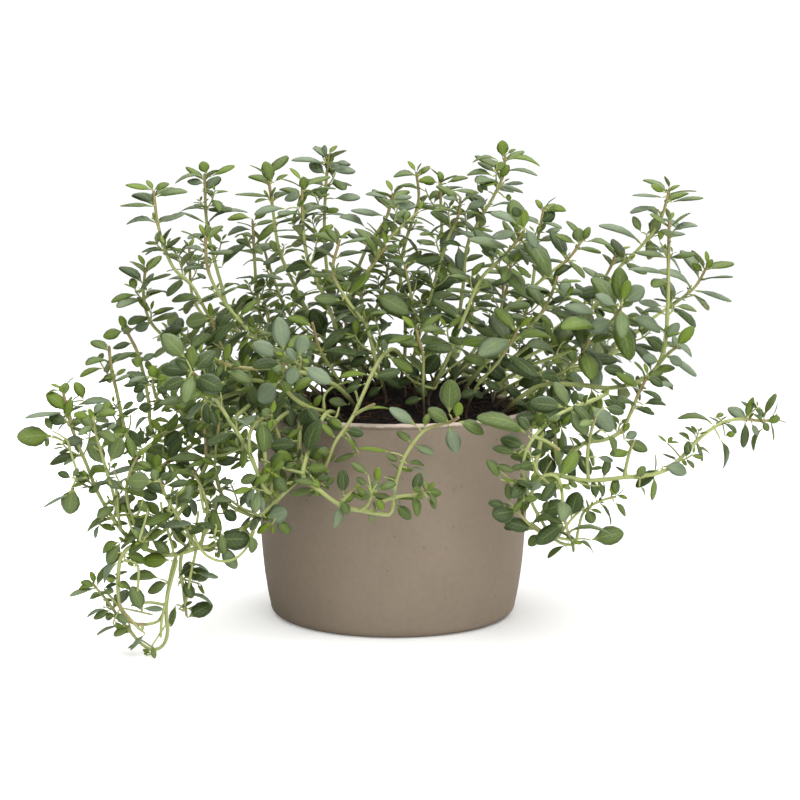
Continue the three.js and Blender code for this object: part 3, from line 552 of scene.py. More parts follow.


# %% The habits of the plant's parts
# light: where the leaves turn; leaf: their size against the route's; tufts and shoots: how often
# one sits in a leaf's corner; thick: the stem's radius at its foot; bare: the foot's leafless
# part; thin: how many short thin stems come up beside it; brown: the least share of brown on it,
# a painted shade that darkens the stems which hang over the sides and the front
STYLES = {
    "upright": dict(light=(0, -0.3, 1), leaf=1.42, tufts=0.4, shoots=0.34, thick=0.88, bare=24,
                    thin=0, brown=0),
    "middle": dict(light=(0, -0.4, 1), leaf=1.35, tufts=0.2, shoots=0.1, thick=0.7, bare=5,
                   thin=2, brown=0),
    "back": dict(light=(0, 0.35, 1), leaf=1.12, tufts=0.35, shoots=0.3, thick=0.9, bare=30,
                 thin=1, brown=0),
    "left": dict(light=(-0.1, -0.6, 0.8), leaf=1.04, tufts=0.42, shoots=0.44, thick=1.05, bare=9,
                 thin=0, brown=0.12),
    "front": dict(light=(0, -0.7, 0.7), leaf=0.75, tufts=0.1, shoots=0.04, thick=1.0, bare=9,
                  thin=0, brown=0.15),
    "right": dict(light=(0.1, -0.6, 0.8), leaf=0.9, tufts=0.3, shoots=0.2, thick=1.1, bare=9,
                  thin=0, brown=0.11),
}
TIP_RADIUS = 0.5               # of a main stem
LIMB_RADII = 0.78, 0.42        # of a drawn side shoot
THIN_RADII = 0.55, 0.32        # of a thin stem
LIMB_LEAF, THIN_LEAF = 0.9, 0.55                   # leaf sizes against the main stem's
THIN_SPREAD = 7                # how far a thin stem comes up from the main one
THIN_HEIGHTS = 16, 48
THIN_LEAN = 0.6
FRONT_ROW = -24                # nearer than this the soil between the stems is bare


# %% Grow all plants
def grow_thin_stem(plant, x, y, leaf, light, style):
    """A short thin stem that comes up near the foot and leans anywhere."""
    rng = plant.rng
    x += rng.uniform(-THIN_SPREAD, THIN_SPREAD)
    y += rng.uniform(-THIN_SPREAD, THIN_SPREAD)
    ground, height = soil_top(math.hypot(x, y)), rng.uniform(*THIN_HEIGHTS)
    lean, bend = (Vector((rng.uniform(-THIN_LEAN, THIN_LEAN), rng.uniform(-THIN_LEAN, THIN_LEAN),
                          0)) for _ in range(2))
    points = [Vector((x, y, ground - 1))]
    points += [Vector((x, y, ground + height * t)) + (lean * t + bend * t * (1 - t)) * height
               for t in (0.15, 0.4, 0.7, 1)]
    if is_free(points[1:]):
        dress(plant, Stem(points, *THIN_RADII, green=0.75, woody=True), leaf, light, style,
              pairs=3)


def grow_plant(name, number, facts):
    """The main stem along its route, its drawn side shoots, and thin stems beside it."""
    style = STYLES[name.split("_")[0]]
    plant = Plant(name, number, facts.get("brown", style["brown"]))
    light = Vector(style["light"]).normalized()
    leaf = facts["leaf"] * style["leaf"]
    x, y = facts["foot"]
    ground = soil_top(math.hypot(x, y))
    foot = [np.array([x, y, ground - 1]), np.array([x, y, ground + 2.4])]
    main = Stem(foot + [along(p) for p in facts["route"]], style["thick"], TIP_RADIUS, woody=True,
                brown=plant.brown)
    dress(plant, main, leaf, light, style, bare=style["bare"])
    limbs = list(main.path)
    for points in facts.get("shoots", []):
        places = [along(p) for p in points]
        root = min(limbs, key=lambda p: (p - Vector(places[0])).length)
        limb = Stem([root] + places[1:], *LIMB_RADII, green=0.35, brown=plant.brown)
        limbs += limb.path
        dress(plant, limb, leaf * LIMB_LEAF, light, style, bare=5)
    for _ in range(style["thin"] if y > FRONT_ROW else 0):
        grow_thin_stem(plant, x, y, leaf * THIN_LEAF, light, style)
    return plant


plants = [grow_plant(name, number, facts) for number, (name, facts) in enumerate(PLANTS.items())]
print("stems:", sum(len(p.stems) for p in plants), "leaves:", sum(len(p.leaves) for p in plants))

# %% [markdown]
# ## Leaves drawn one by one
#
# The leaves that the eye picks out, such as the outermost, the largest and the rosettes that face
# the front, are drawn like the stems: foot, tip and width as they appear from the front. Each
# grows from the nearest stem, on a short stalk of its own if it needs one, and is tilted until it
# looks as wide as it was drawn. The tone is b for bright, m for middling, d for deep, g for grey.

# %% The drawn leaves: x and z of the foot, x and z of the tip, width, tone
LEAVES = (
    # at the tips
    (-31, 197, -30.5, 203.5, 2.5, "g"), (-26, 196, -20, 195.8, 2, "g"), (20, 184, 14, 181, 2.5, "m"),
    (24, 184, 36, 183.5, 1.8, "m"), (10, 189, 17, 187.5, 4, "b"), (47, 181, 50, 181, 3, "b"),
    (-34, 196, -32, 192, 3, "m"), (42, 192, 47, 196, 4, "b"), (48, 199.5, 51.5, 202, 1.6, "b"),
    (66, 176, 74, 176.5, 3.4, "b"), (35, 187, 37.5, 183, 2.4, "m"), (-36, 184, -31, 181, 2.2, "m"),
    # low in the middle
    (20, 114, 12.5, 105, 8, "d"), (-10, 103, 2, 106, 4.5, "d"), (-6, 102.5, 4, 99.5, 5, "d"),
    (10, 103, 1, 101, 4, "d"), (28, 106, 37, 105, 3, "m"), (46, 99, 57, 93, 4.5, "d"),
    (53, 99, 64, 103.5, 7, "m"), (-11, 112, -20, 108.5, 5, "d"), (26, 103, 33, 99.5, 4.5, "d"),
    (-27, 104, -35, 107, 4, "d"), (-22, 101, -31, 99, 3.5, "d"), (20, 101, 11, 97.5, 4, "d"),
    (33, 108, 41, 106, 4, "d"), (52, 108, 44, 111, 5, "d"), (24, 106, 17, 104, 4, "d"),
    (8, 100, 14, 95, 4, "d"), (12, 94, 4, 92, 4, "d"), (32, 98, 38, 94, 4, "d"),
    (36, 97, 28, 95, 4, "d"), (-6, 99, -12, 95, 4, "d"), (0, 104, -9, 101, 4, "d"),
    (-14, 100, -22, 97.5, 3.5, "d"), (38, 101, 46, 98, 4, "d"),
    # left
    (-89, 105, -95.5, 111.5, 5, "d"), (-91, 111, -101, 122, 8, "m"), (-88, 105.5, -79, 115, 7, "d"),
    (-88, 104, -75.5, 98, 8, "d"), (-90, 103, -101, 98.5, 6.5, "d"), (-87.5, 103.5, -82, 98, 5, "m"),
    (-90, 99, -79, 95.5, 4, "b"), (-80, 129, -91, 127, 8, "m"), (-84, 137.5, -97, 138, 3.5, "m"),
    (-90, 124, -103, 123.5, 3, "d"), (-106, 127, -113, 124, 5, "g"),
    (-117.5, 123.5, -119, 130.5, 3.5, "b"), (-118, 123.5, -127, 121, 4.5, "b"),
    (-114, 118, -123, 116.5, 3, "d"), (-110.5, 110, -105, 113.5, 3, "g"),
    (-105.5, 102, -105.5, 108.5, 5, "b"), (-104, 102, -99.5, 103.5, 3.5, "b"),
    (-108, 100, -114.5, 97, 4, "d"), (-110, 98, -112, 92, 4, "g"), (-105.5, 91, -112, 89.5, 4.5, "d"),
    (-104, 99, -99.5, 96.5, 4, "d"), (-108.5, 103.5, -116.5, 101.5, 2.5, "g"),
    (-90, 93.5, -103, 92.5, 4, "m"), (-119.5, 88.5, -114.5, 92.5, 2.5, "m"),
    (-66, 95.5, -79, 94.5, 5.5, "d"), (-66, 91.5, -78, 91.8, 2.5, "b"), (-51, 101, -60, 92.5, 9, "g"),
    (-48.5, 114, -50.5, 129.5, 8.5, "g"), (-50, 112, -62, 118.5, 6.5, "g"),
    (-42, 112, -39.5, 121.5, 7.5, "g"), (-43, 109, -46.5, 100.5, 7.5, "g"),
    (-41, 108, -28, 101, 6.5, "g"), (-43, 110, -47, 116, 4, "g"), (-74, 106, -63, 102, 5, "m"),
    (-55, 114, -63.5, 111, 5, "d"), (-48, 92, -45, 81.5, 6, "d"), (-54, 85, -55.5, 80.5, 3, "b"),
    (-54, 85, -51.5, 81.5, 2.5, "b"), (-54.5, 85.5, -58, 89, 5, "m"), (-60, 88, -67.5, 89, 5, "d"),
    (-81, 90, -78, 82, 4, "d"), (-144, 88, -151.5, 97, 6.5, "b"), (-145, 96, -146, 99.5, 2.5, "b"),
    (-145, 96, -143, 98.5, 2.5, "b"), (-146, 97, -152.5, 97, 1, "m"), (-136, 93, -139, 101.5, 5, "b"),
    (-145, 87.5, -161.5, 86, 2.2, "g"), (-143, 83, -151.5, 86, 5, "d"),
    (-150, 79.5, -152.5, 85.5, 3, "m"), (-150, 77.5, -165, 77, 8, "b"),
    (-151.5, 77, -153, 72.5, 2.2, "m"), (-135.5, 76, -145, 74.5, 4.5, "g"),
    (-139, 90.5, -125, 94.5, 3.5, "g"), (-133, 86, -140.5, 87, 4, "b"),
    (-131, 86, -122.5, 89, 3.5, "b"), (-132, 85, -125, 84, 2.5, "m"), (-132, 87, -128, 91.5, 4, "g"),
    (-134, 80, -128, 80.5, 4.5, "d"), (-135, 74, -129, 77, 3.5, "b"), (-127, 79.5, -122, 83, 2, "g"),
    (-125, 65.5, -120, 76.5, 8, "m"), (-127, 64, -134, 75, 7.5, "m"),
    (-142, 58.5, -148, 61.5, 3.5, "d"), (-140.5, 58, -135.5, 58.5, 2.5, "m"),
    (-141.5, 59, -139, 63, 2.5, "m"), (-141, 55, -144, 42.5, 9, "m"), (-143, 51.5, -155, 46, 1.8, "g"),
    (-109, 64.5, -127.5, 60.5, 3, "g"), (-106, 57, -117.5, 57.5, 9, "m"),
    (-113, 53, -104.5, 50, 5, "d"), (-105, 57, -106, 62.5, 4.5, "m"), (-105, 62.5, -104, 69, 5, "b"),
    (-104, 58, -98, 60.5, 4, "d"), (-101, 55, -91, 57.5, 2.5, "d"), (-101, 66, -84, 69, 4.5, "m"),
    (-90, 72, -79, 71, 5, "d"), (-102, 72, -95, 79.5, 6, "d"), (-82, 81, -82, 91, 5, "d"),
    (-91, 75, -84.5, 75, 3.5, "b"), (-80, 65.5, -70, 67, 4, "d"), (-107, 83.5, -99, 85, 2, "b"),
    (-107, 86, -115, 81.5, 2, "g"), (-94, 43, -104.5, 43.5, 6, "d"), (-93, 49, -91, 41, 4, "d"),
    (-106, 37, -90, 39, 3, "g"), (-90, 38.5, -79, 37, 2.5, "d"), (-76, 45, -70, 40, 5.5, "d"),
    (-91, 51, -87, 42, 3.5, "g"), (-130, 38, -133, 32, 2, "g"), (-131, 38, -123, 36, 3, "b"),
    (-125, 37, -118, 39.5, 2.5, "m"), (-121, 30, -130.5, 26.5, 4, "b"), (-121, 30, -127, 20, 7, "m"),
    (-122, 21, -131, 13, 3.5, "g"), (-99, 22, -112, 22, 6.5, "b"), (-98, 34, -106, 30, 2.5, "d"),
    (-99, 38, -94, 34.5, 3.5, "d"), (-79, 31, -64, 31.5, 9, "d"), (-77, 35, -75, 24.5, 5, "m"),
    (-64, 34, -62, 24.5, 4.5, "m"), (-104, 13.5, -117, 16, 4.5, "m"), (-115, 19, -118, 21, 1.5, "b"),
    (-132, 10, -140, 10.5, 2.5, "b"), (-133, 11, -134, 17, 2.5, "b"), (-133, 10, -139, 13, 3, "b"),
    (-133, 9, -138, 8.5, 1.5, "b"), (-129, 9, -123, 12, 2, "d"), (-130, 7, -136, 5.5, 1.8, "m"),
    (-100, 12, -110, 8, 4.5, "m"), (-112, -1.5, -116, 10, 6.5, "m"), (-112, 0, -103, 0.5, 2, "g"),
    (-126, -0.5, -134, -4, 3.5, "m"), (-128, 0, -137, -2.5, 1.5, "g"),
    (-122, -8, -133, -10.5, 1.2, "g"), (-97, 2, -100, -8, 3.5, "m"), (-96, 0, -90, 3.5, 1.8, "m"),
    (-92, -4, -81, 2.5, 7.5, "d"), (-93, 6, -80, 4.5, 1.8, "g"), (-88, 16, -78, 15, 2, "g"),
    (-91, 20.5, -82, 18, 1.3, "g"), (-96, 14, -89, 21, 2.5, "d"), (-111, -11.5, -118, -18.5, 2.5, "g"),
    # front
    (-60, 60, -68, 57, 4.5, "m"), (-61, 55, -66, 46, 4, "g"), (-60, 52, -57, 44, 3, "g"),
    (-57, 41, -47.5, 44, 9, "g"), (-38, 68, -35, 84.5, 7, "d"), (-42, 72, -37, 84, 4, "d"),
    (-26, 76, -32.5, 83, 3.5, "b"), (-23, 77, -15.5, 71, 3, "b"), (-2, 70, -16, 72.5, 2.5, "b"),
    (-16, 69.5, -27, 66.5, 3, "m"), (-23, 51, -23, 62.5, 5, "d"), (-24, 49, -20.5, 42.5, 4.5, "m"),
    (-31, 55, -27, 59, 3, "m"), (-49, 62.5, -44, 65.5, 3, "m"), (-35, 53.5, -46.5, 52, 3.5, "m"),
    (-34, 55, -44, 58.5, 3, "m"), (-33, 54, -36, 58, 3, "b"), (-49, 52, -43, 59, 3, "m"),
    (-12, 60, -19, 66, 3.5, "m"), (-8, 56, -8, 63.5, 3, "b"), (-12, 55, -17, 59, 3, "m"),
    (-8, 53, 0, 57, 4, "m"), (-10, 52, -15, 49, 3, "m"), (-9, 50, -5, 44.5, 3.5, "b"),
    (-5, 59, 1, 57.5, 2, "m"), (0, 47, 7, 40.5, 4.5, "m"), (14, 52, 13, 57.5, 3, "b"),
    (14, 52, 17, 57, 2.5, "b"), (13, 51, 9, 50, 3, "b"), (14, 50, 18.5, 45, 3, "m"),
    (15, 52, 18, 47, 2.5, "m"), (5, 65, 13, 65.5, 2.5, "m"), (5, 63, 16, 61, 1.5, "g"),
    (2, 66, -4, 69, 3, "m"), (-59, 74, -59, 66, 3, "m"), (-65, 73, -68, 63, 3.5, "b"),
    (-20.5, 91, -29, 93, 5, "m"), (-18.5, 86.5, -3.5, 91.5, 1.5, "b"), (23.5, 87, 24, 102, 9.5, "m"),
    (24, 83, 14.5, 89.5, 5.5, "m"), (26.5, 85, 28, 92, 4.5, "b"), (27, 84, 39.5, 79, 6, "m"),
    (23, 82, 27, 70, 7, "g"), (9.5, 81.5, -2.5, 90, 5.5, "g"), (12.5, 81, 14.5, 87.5, 3.5, "b"),
    # middle
    (-30, 120, -36, 133, 8, "d"), (-33, 113, -21, 126, 5, "d"), (-26, 114, -35.5, 117, 5, "d"),
    (-10, 139.5, 6, 131.5, 8, "m"), (-23, 136.5, -35, 138, 5, "m"), (10, 123, 20, 125.5, 3.5, "m"),
    (32, 126.5, 44, 121.5, 4.5, "m"), (-12, 104, -24, 105, 2.5, "b"), (-3.5, 112, 8, 106.5, 4, "b"),
    (2, 113, 16, 104, 4, "m"), (37, 110, 48, 102.5, 7, "d"), (47, 112, 36, 114.5, 5, "d"),
    # top
    (-104, 184, -116, 187, 3, "b"), (-104, 184, -97.5, 187.5, 3, "b"), (-103, 181, -90, 185, 3, "m"),
    (-104, 177, -118.5, 178.5, 1.8, "m"), (-102, 170, -91, 174.5, 2, "g"),
    (-103, 170, -116, 172.5, 2.5, "g"), (-81, 191, -83, 196.5, 5, "b"), (-79, 190, -69, 195, 2.5, "b"),
    (-82, 189.5, -95, 190, 1.5, "m"), (-82, 187, -89.5, 188.5, 3, "g"),
    (-82, 170, -93, 175.5, 1.5, "m"), (-81, 170, -65, 178.5, 2, "g"), (-53, 187, -56, 196.5, 6, "b"),
    (-52, 187.5, -46.5, 191.5, 2, "b"), (-53, 181, -69, 183, 2, "m"),
    (-39, 183.5, -39.5, 190, 4.5, "b"), (-40, 182, -48, 180.5, 4, "g"), (-47, 176, -61, 175.5, 3, "g"),
    (-29, 197, -34.5, 203.5, 3, "g"), (-29, 195, -27.5, 200, 4, "b"), (-30, 191, -37, 196, 5, "g"),
    (-29, 193, -17, 193, 3, "g"), (-29, 194, -44, 199, 1.5, "g"), (-62, 172, -72.5, 173, 3, "b"),
    (-61, 171, -55, 177, 4, "b"), (-62, 167, -72.5, 167, 2.5, "g"), (-75, 151, -67, 162, 4, "d"),
    (-26.5, 180.5, -15, 181.5, 3.5, "g"), (-34, 150.5, -48, 152, 5, "d"),
    (-61, 160, -51, 171, 3.5, "b"), (46, 198, 46, 205.5, 5.5, "b"), (48, 197, 62.5, 197.5, 2.8, "b"),
    (44, 197, 33, 198.5, 1.6, "m"), (42, 190, 31, 193, 2.6, "m"), (45, 189, 48.5, 195, 4, "b"),
    (46, 186.5, 55, 187.5, 1.6, "g"), (44, 184, 51, 184.5, 2.2, "g"),
    (40, 183.5, 36.5, 187.5, 2.6, "m"), (20, 187, 19, 192.5, 3, "b"), (22, 187, 31, 190.5, 2.6, "b"),
    (18.5, 187, 10, 189.5, 3.5, "b"), (9.5, 190, -0.5, 192, 2.4, "m"),
    (10.5, 190.5, 14.5, 194.5, 2.5, "b"), (-3, 179, -12, 184.5, 2.6, "g"), (-2, 180, 7, 182, 2, "g"),
    (-5, 173, -19, 176.5, 3, "g"), (-13, 168, -23, 175, 3.2, "g"), (-2, 177, 8.5, 177.5, 3.8, "g"),
    (28, 180, 20.5, 181.5, 2.5, "g"), (30, 175, 38.5, 180, 4, "g"), (27, 160.5, 29, 149, 5.5, "g"),
    (6.5, 153, 19.5, 156, 4.5, "d"), (14.5, 145, 1.5, 141, 5, "d"), (28.5, 146.5, 15, 142, 5.5, "d"),
    (54, 172, 51, 177, 5, "d"), (53, 169, 41.5, 176, 3.6, "g"), (53, 166, 41.5, 164.5, 4, "g"),
    (56, 168, 61, 159.5, 5, "g"), (52, 146, 40.5, 144, 3, "d"), (41, 177, 57, 178, 1.5, "g"),
    (63, 175, 61, 180.5, 2.5, "b"), (65, 175, 73, 177, 3.4, "b"), (62, 170, 68.5, 175, 6, "d"),
    (64, 166, 71, 167.5, 2.5, "g"), (78, 161, 69, 165.5, 3.2, "b"), (79, 161, 79, 168, 6, "m"),
    (81, 162, 83.5, 168.5, 3.6, "b"), (82, 162, 95.5, 161, 3, "m"), (116, 183, 110, 186.5, 3, "b"),
    (117, 183, 122, 187, 2, "b"), (115, 181, 102, 182.5, 1.6, "g"), (119, 179, 132.5, 181.5, 1.8, "m"),
    (113, 176, 101, 176, 1.8, "g"), (106, 166, 102.5, 173, 3.6, "m"),
    (106.5, 160.5, 89, 171.5, 1.7, "g"), (119, 166, 129.5, 171, 3, "g"),
    (114, 162, 115, 167.5, 2.6, "b"), (107, 160, 126, 152, 1.7, "g"), (133, 149, 128.5, 153, 3, "b"),
    (134, 150, 137, 154.5, 3, "b"), (129, 141, 146, 137, 2.2, "g"), (128.5, 141, 115, 152.5, 2.2, "g"),
    (78, 151.5, 67, 148, 3.6, "d"), (118, 148, 101, 151.5, 1.7, "g"),
    # right
    (74, 90, 58.5, 92, 8.5, "d"), (66, 102, 54, 101, 6.5, "d"), (74, 120.5, 66, 114, 7, "d"),
    (60, 119, 54, 110, 7, "d"), (95, 128, 84, 124, 7, "g"), (88, 130.5, 73.5, 135, 5.5, "g"),
    (91, 141, 79, 139.5, 5.5, "d"), (77.5, 136.5, 66, 137, 3, "d"), (98, 136, 101, 145.5, 5, "b"),
    (99, 136, 107.5, 142.5, 8, "g"), (96, 134, 87, 139.5, 4.5, "g"), (98, 133, 103, 138.5, 4, "m"),
    (98.5, 130, 107.5, 127, 6.5, "m"), (101, 129, 116, 125, 6, "g"), (107, 121, 118.5, 115, 5.5, "d"),
    (101, 116.5, 114.5, 116, 3, "d"), (121, 118, 130, 113.5, 3, "g"), (122, 116, 121, 121.5, 3, "g"),
    (115, 110, 107.5, 112, 5, "g"), (112, 105.5, 121.5, 108, 4, "b"), (117, 112.5, 132, 105, 2.4, "g"),
    (118, 113, 125, 108.5, 4.5, "g"), (109, 103.5, 117, 99.5, 4.2, "d"),
    (114, 100.5, 121.5, 100, 3, "g"), (101, 105, 91, 107.5, 4.6, "d"), (88, 110, 87, 97.5, 6.5, "g"),
    (78, 90, 78, 97.5, 3, "d"), (78, 89.5, 78, 82, 3, "d"), (85, 91, 95, 79.5, 9, "g"),
    (90, 93.5, 96.5, 90, 4, "d"), (91, 90, 100, 88, 4, "d"), (108, 91, 118.5, 93, 3.6, "d"),
    (107, 90, 112, 88.5, 2, "m"), (116, 134, 105.5, 136.5, 3.6, "g"), (121, 134, 131, 133, 3, "m"),
    (74, 119, 88, 115, 4.5, "g"), (58, 77.5, 37, 88, 5.5, "m"), (59, 79, 54, 85.5, 5, "d"),
    (54, 69.5, 42.5, 73, 4.2, "m"), (46, 58, 41, 67, 4, "m"), (43, 64.5, 52, 62, 3.2, "m"),
    (50, 62, 56, 64.5, 3, "m"), (52, 54, 53, 58.5, 3, "b"), (50, 48, 49.5, 56, 4, "m"),
    (52, 52, 58.5, 48, 4, "m"), (49, 46, 41, 48, 4, "d"), (54, 44, 42.5, 42.5, 9.5, "d"),
    (61, 35.5, 48, 39.5, 6.5, "d"), (64, 34, 58.5, 28.5, 5, "m"), (59, 52, 67, 49, 3, "m"),
    (67, 49, 65, 44, 3, "m"), (63, 43.5, 73.5, 38.5, 3.8, "m"), (77, 41, 80, 52.5, 8.5, "d"),
    (88, 49, 87, 57, 3.6, "d"), (80, 58, 86, 54, 3, "m"), (88, 58, 92, 51.5, 2, "m"),
    (97, 51, 94, 54, 2, "b"), (97, 51, 102, 50, 1.6, "b"), (97, 51, 96, 56.5, 2.2, "m"),
    (96, 48, 102, 42, 3, "m"), (84, 45, 87, 38.5, 5.5, "m"), (75, 34, 95.5, 37.5, 2.6, "m"),
    (86, 31, 100.5, 34.5, 9, "m"), (75, 28.5, 66.5, 24, 2.2, "m"), (67, 70, 66, 59.5, 9, "d"),
    (71, 68, 74, 59, 3.6, "g"), (64, 77, 68, 71.5, 3, "m"), (72, 82, 74, 66, 4, "m"),
    (92, 78.5, 98, 69, 3.8, "m"), (100, 75.5, 110.5, 71, 5.2, "m"), (100, 76, 105.5, 79, 4, "g"),
    (88, 68, 95.5, 66.5, 2.6, "g"), (79, 70, 86, 60, 6, "d"), (76, 77, 82, 73, 2.2, "m"),
    (80, 78, 86, 75, 2.6, "d"), (116, 63, 105, 55, 5.4, "d"), (117, 64, 128.5, 61.5, 6.5, "g"),
    (119, 74, 115, 78, 1.3, "b"), (119, 74, 124, 75, 1.3, "b"), (119, 74, 121, 77, 2, "b"),
    (107, 55, 110.5, 51, 1.4, "g"), (139, 82, 124.5, 88.5, 1.7, "m"),
    (139.5, 85.5, 143.5, 87.5, 2.4, "b"), (144, 77.5, 148.5, 78.5, 3, "b"),
    (142, 76, 146.5, 63, 3.3, "d"), (154, 84, 145.5, 90, 4.8, "g"), (154.5, 84, 156, 88, 1.6, "b"),
    (155.5, 83, 158.5, 77.5, 2.6, "g"), (161, 85.5, 165, 96.5, 2.6, "m"),
    (162, 83.5, 168, 85.5, 3.8, "b"), (160.5, 84, 163, 79.5, 3.2, "m"), (161, 81, 154.5, 72, 1.9, "m"),
    (129, 74.5, 125, 79.5, 1.5, "m"), (131, 72, 138.5, 70.5, 1.6, "m"),
    (124.5, 67.5, 128, 64.5, 1.6, "b"),
)

# %% Thin stems that only cross from one place to another: x and z of their points
TANGLE = (
    # left
    ((-144, 76), (-141.5, 68), (-139, 60)), ((-141, 58), (-136, 55.5), (-132, 53)),
    ((-123, 55), (-122, 47), (-121.5, 38)), ((-125, 42), (-117, 42.2), (-109, 40.5), (-102, 38.5)),
    ((-114, 42), (-112, 45), (-111, 49)), ((-113, 31), (-116, 36), (-117.5, 41)),
    ((-112.5, 31), (-110.5, 38), (-108.5, 45)), ((-112, 30), (-108, 34.5), (-104, 37)),
    ((-98, 26), (-99.5, 33), (-102, 40), (-103, 48)), ((-91, 27.5), (-95.5, 31), (-99, 37)),
    ((-85, 26.5), (-89.5, 30.5), (-94, 35)),
    ((-90, 36), (-87, 29), (-83, 24), (-77, 21.5), (-71, 22.5), (-66, 27), (-62, 35)),
    ((-88, 27), (-83, 35), (-79, 43)), ((-91, 29), (-88, 36), (-86.5, 44)),
    ((-79, 36), (-79, 43), (-78.5, 51)), ((-93, 54), (-96.5, 60), (-99, 65)),
    ((-99.5, 45), (-98.5, 51), (-97, 56)), ((-84, 44), (-85, 49), (-86, 55)),
    ((-79.5, 55), (-85, 53.5), (-91, 52.5)), ((-81, 68), (-75, 69), (-68, 71.5)),
    ((-110, -7), (-105, -5.5), (-102, 0)), ((-112, -10), (-120, -1.5), (-128, 8)),
    ((-101.5, 2), (-109, 3), (-117, 1.5)),
    ((-96.5, 22), (-98.5, 14), (-101, 5), (-103.5, -5), (-104, -13)),
    ((-88, 26), (-90.5, 15), (-92, 6), (-94, -1)), ((-114, 20), (-113.5, 13), (-114, 8)),
    # middle
    ((17, 98), (12, 99.5), (6, 103), (1, 109), (-3, 113)),
    ((17, 98), (19, 103), (25, 108), (31, 112), (37, 118)),
    ((-31, 89), (-31, 95), (-27, 99), (-21, 101)), ((-21, 101), (-17.5, 97), (-16, 91)),
    # front
    ((-40, 60.5), (-45, 62), (-52, 64), (-59, 67)), ((-48.5, 75), (-45, 74.5), (-42, 74)),
    ((-45.5, 75), (-43.8, 79), (-44, 83)), ((-40.5, 61), (-41.8, 67), (-42, 74)),
    ((-54, 53), (-50, 55.5), (-45, 57)), ((-29.5, 86.5), (-31.5, 90), (-31, 95)),
    ((-29, 86), (-26, 85.5), (-24.5, 90)), ((-61, 42.5), (-67, 45), (-74, 50)),
    ((-60, 41), (-61.5, 37), (-64, 33)),
    # right
    ((74.2, 62.3), (75.5, 65.4), (78.6, 70.4), (83, 74)), ((83, 74), (87, 78), (89.6, 80)),
    ((64, 59), (71, 54), (78, 57)), ((72, 33), (78, 41), (83, 45.7)),
    ((78, 31), (71.8, 32), (65, 34.7), (59.5, 39)),
)

# %% What a drawn spot belongs to
def drawn(place):
    """Where a place appears on the drawing plane: the reverse of along."""
    place = np.array(place)
    return EYE + (place - EYE) * (EYE[1] / (EYE[1] - place[1]))


def see(plants):
    """A row for each point of each stem: x and z as drawn, depth, plant, stem, point."""
    looks = []
    for i, plant in enumerate(plants):
        for j, stem in enumerate(plant.stems):
            for k, place in enumerate(stem.path):
                spot = drawn(place)
                looks.append((spot[0], spot[2], place.y, i, j, k))
    return np.array(looks)


def nearest(plants, looks, x, z):
    """The stem point that appears nearest to a drawn spot: its depth, its plant and its place.
    Of two that appear equally near, the one in front is taken."""
    away = np.hypot(looks[:, 0] - x, looks[:, 1] - z)
    pick = looks[np.argmin(away + 0.04 * looks[:, 2])]
    plant = plants[int(pick[3])]
    return pick[2], plant, plant.stems[int(pick[4])].path[int(pick[5])]


# %% Drawn stems and leaves
TONES = {"b": 0.41, "m": 0.30, "d": 0.75, "g": 0.05}
AGES = {"b": 0.5, "m": 1.0, "d": 1.0, "g": 1.0}
TRUE_WIDTH = 0.5               # a leaf's width against its length, seen square on
SQUAREST = 0.97                # the largest share of its width that a leaf shows
DRAWN_RADII = 0.62, 0.46       # of a drawn thin stem
STALK_RADII = 0.36, 0.28       # of a stalk between a drawn leaf and its stem


def add_drawn_stem(plants, looks, spots):
    """A thin stem that starts on the nearest one and ends as deep as what is behind its tip."""
    depth, plant, root = nearest(plants, looks, *spots[0])
    depths = np.linspace(depth, nearest(plants, looks, *spots[-1])[0], len(spots)) - 1
    for nearer in (0, 3, 6, 9, 12):
        path = [Vector(along((x, z, depth - nearer))) for (x, z), depth in zip(spots, depths)]
        if is_free(path):
            break
    if (path[0] - root).length < 1:
        path = path[1:]
    plant.stems.append(Stem([root] + path, *DRAWN_RADII, step=1.5, green=0.8, brown=plant.brown))


def add_drawn_leaf(plants, looks, row):
    """Adds the leaf, and tells where it appears: middle, direction, two half widths, depth."""
    x, z, tip_x, tip_z, wide, tone = row
    depth, plant, root = nearest(plants, looks, x, z)
    rng = plant.rng
    base = Vector(along((x, z, depth - 0.5)))
    long = math.hypot(tip_x - x, tip_z - z)
    for nearer in (0, 3, 6, 9):
        tip = Vector(along((tip_x, tip_z, depth - long * rng.uniform(-0.1, 0.3) - nearer)))
        if is_free([base.lerp(tip, 0.5), tip]):
            break
    if (base - root).length > 1:
        plant.stems.append(Stem([root, root.lerp(base, 0.5) + Vector((0, -0.3, 0.4)), base],
                                *STALK_RADII, step=1.5, green=0.8, brown=plant.brown))
    out = (tip - base).normalized()
    seen = (Vector(EYE) - base).normalized()
    square = (seen - out * seen.dot(out)).normalized()
    edge = out.cross(square) * (1 if out.cross(square).z > 0 else -1)
    stretch = wide / long / TRUE_WIDTH
    share = min(SQUAREST, stretch)
    face = square * share + edge * math.sqrt(1 - share * share)
    shape = 2 if stretch > 1.2 else rng.choice((2, 3, 4, 5))
    # painted shade: a middling drawn leaf before or right of the pot gets a deeper green, for the
    # lesser light from above there
    shade = 0.2 if tone == "m" and beside_pot(x, z) else 0
    plant.leaves.append((*base, *turn_to(out.cross(face), out, face), (tip - base).length,
                         max(1, stretch), TONES[tone] + shade + rng.uniform(-0.004, 0.004),
                         AGES[tone], shape))
    return (lerp(x, tip_x, 0.6), lerp(z, tip_z, 0.6), (tip_x - x) / long, (tip_z - z) / long,
            0.42 * long + 1, wide / 2 + 1, depth + 3)


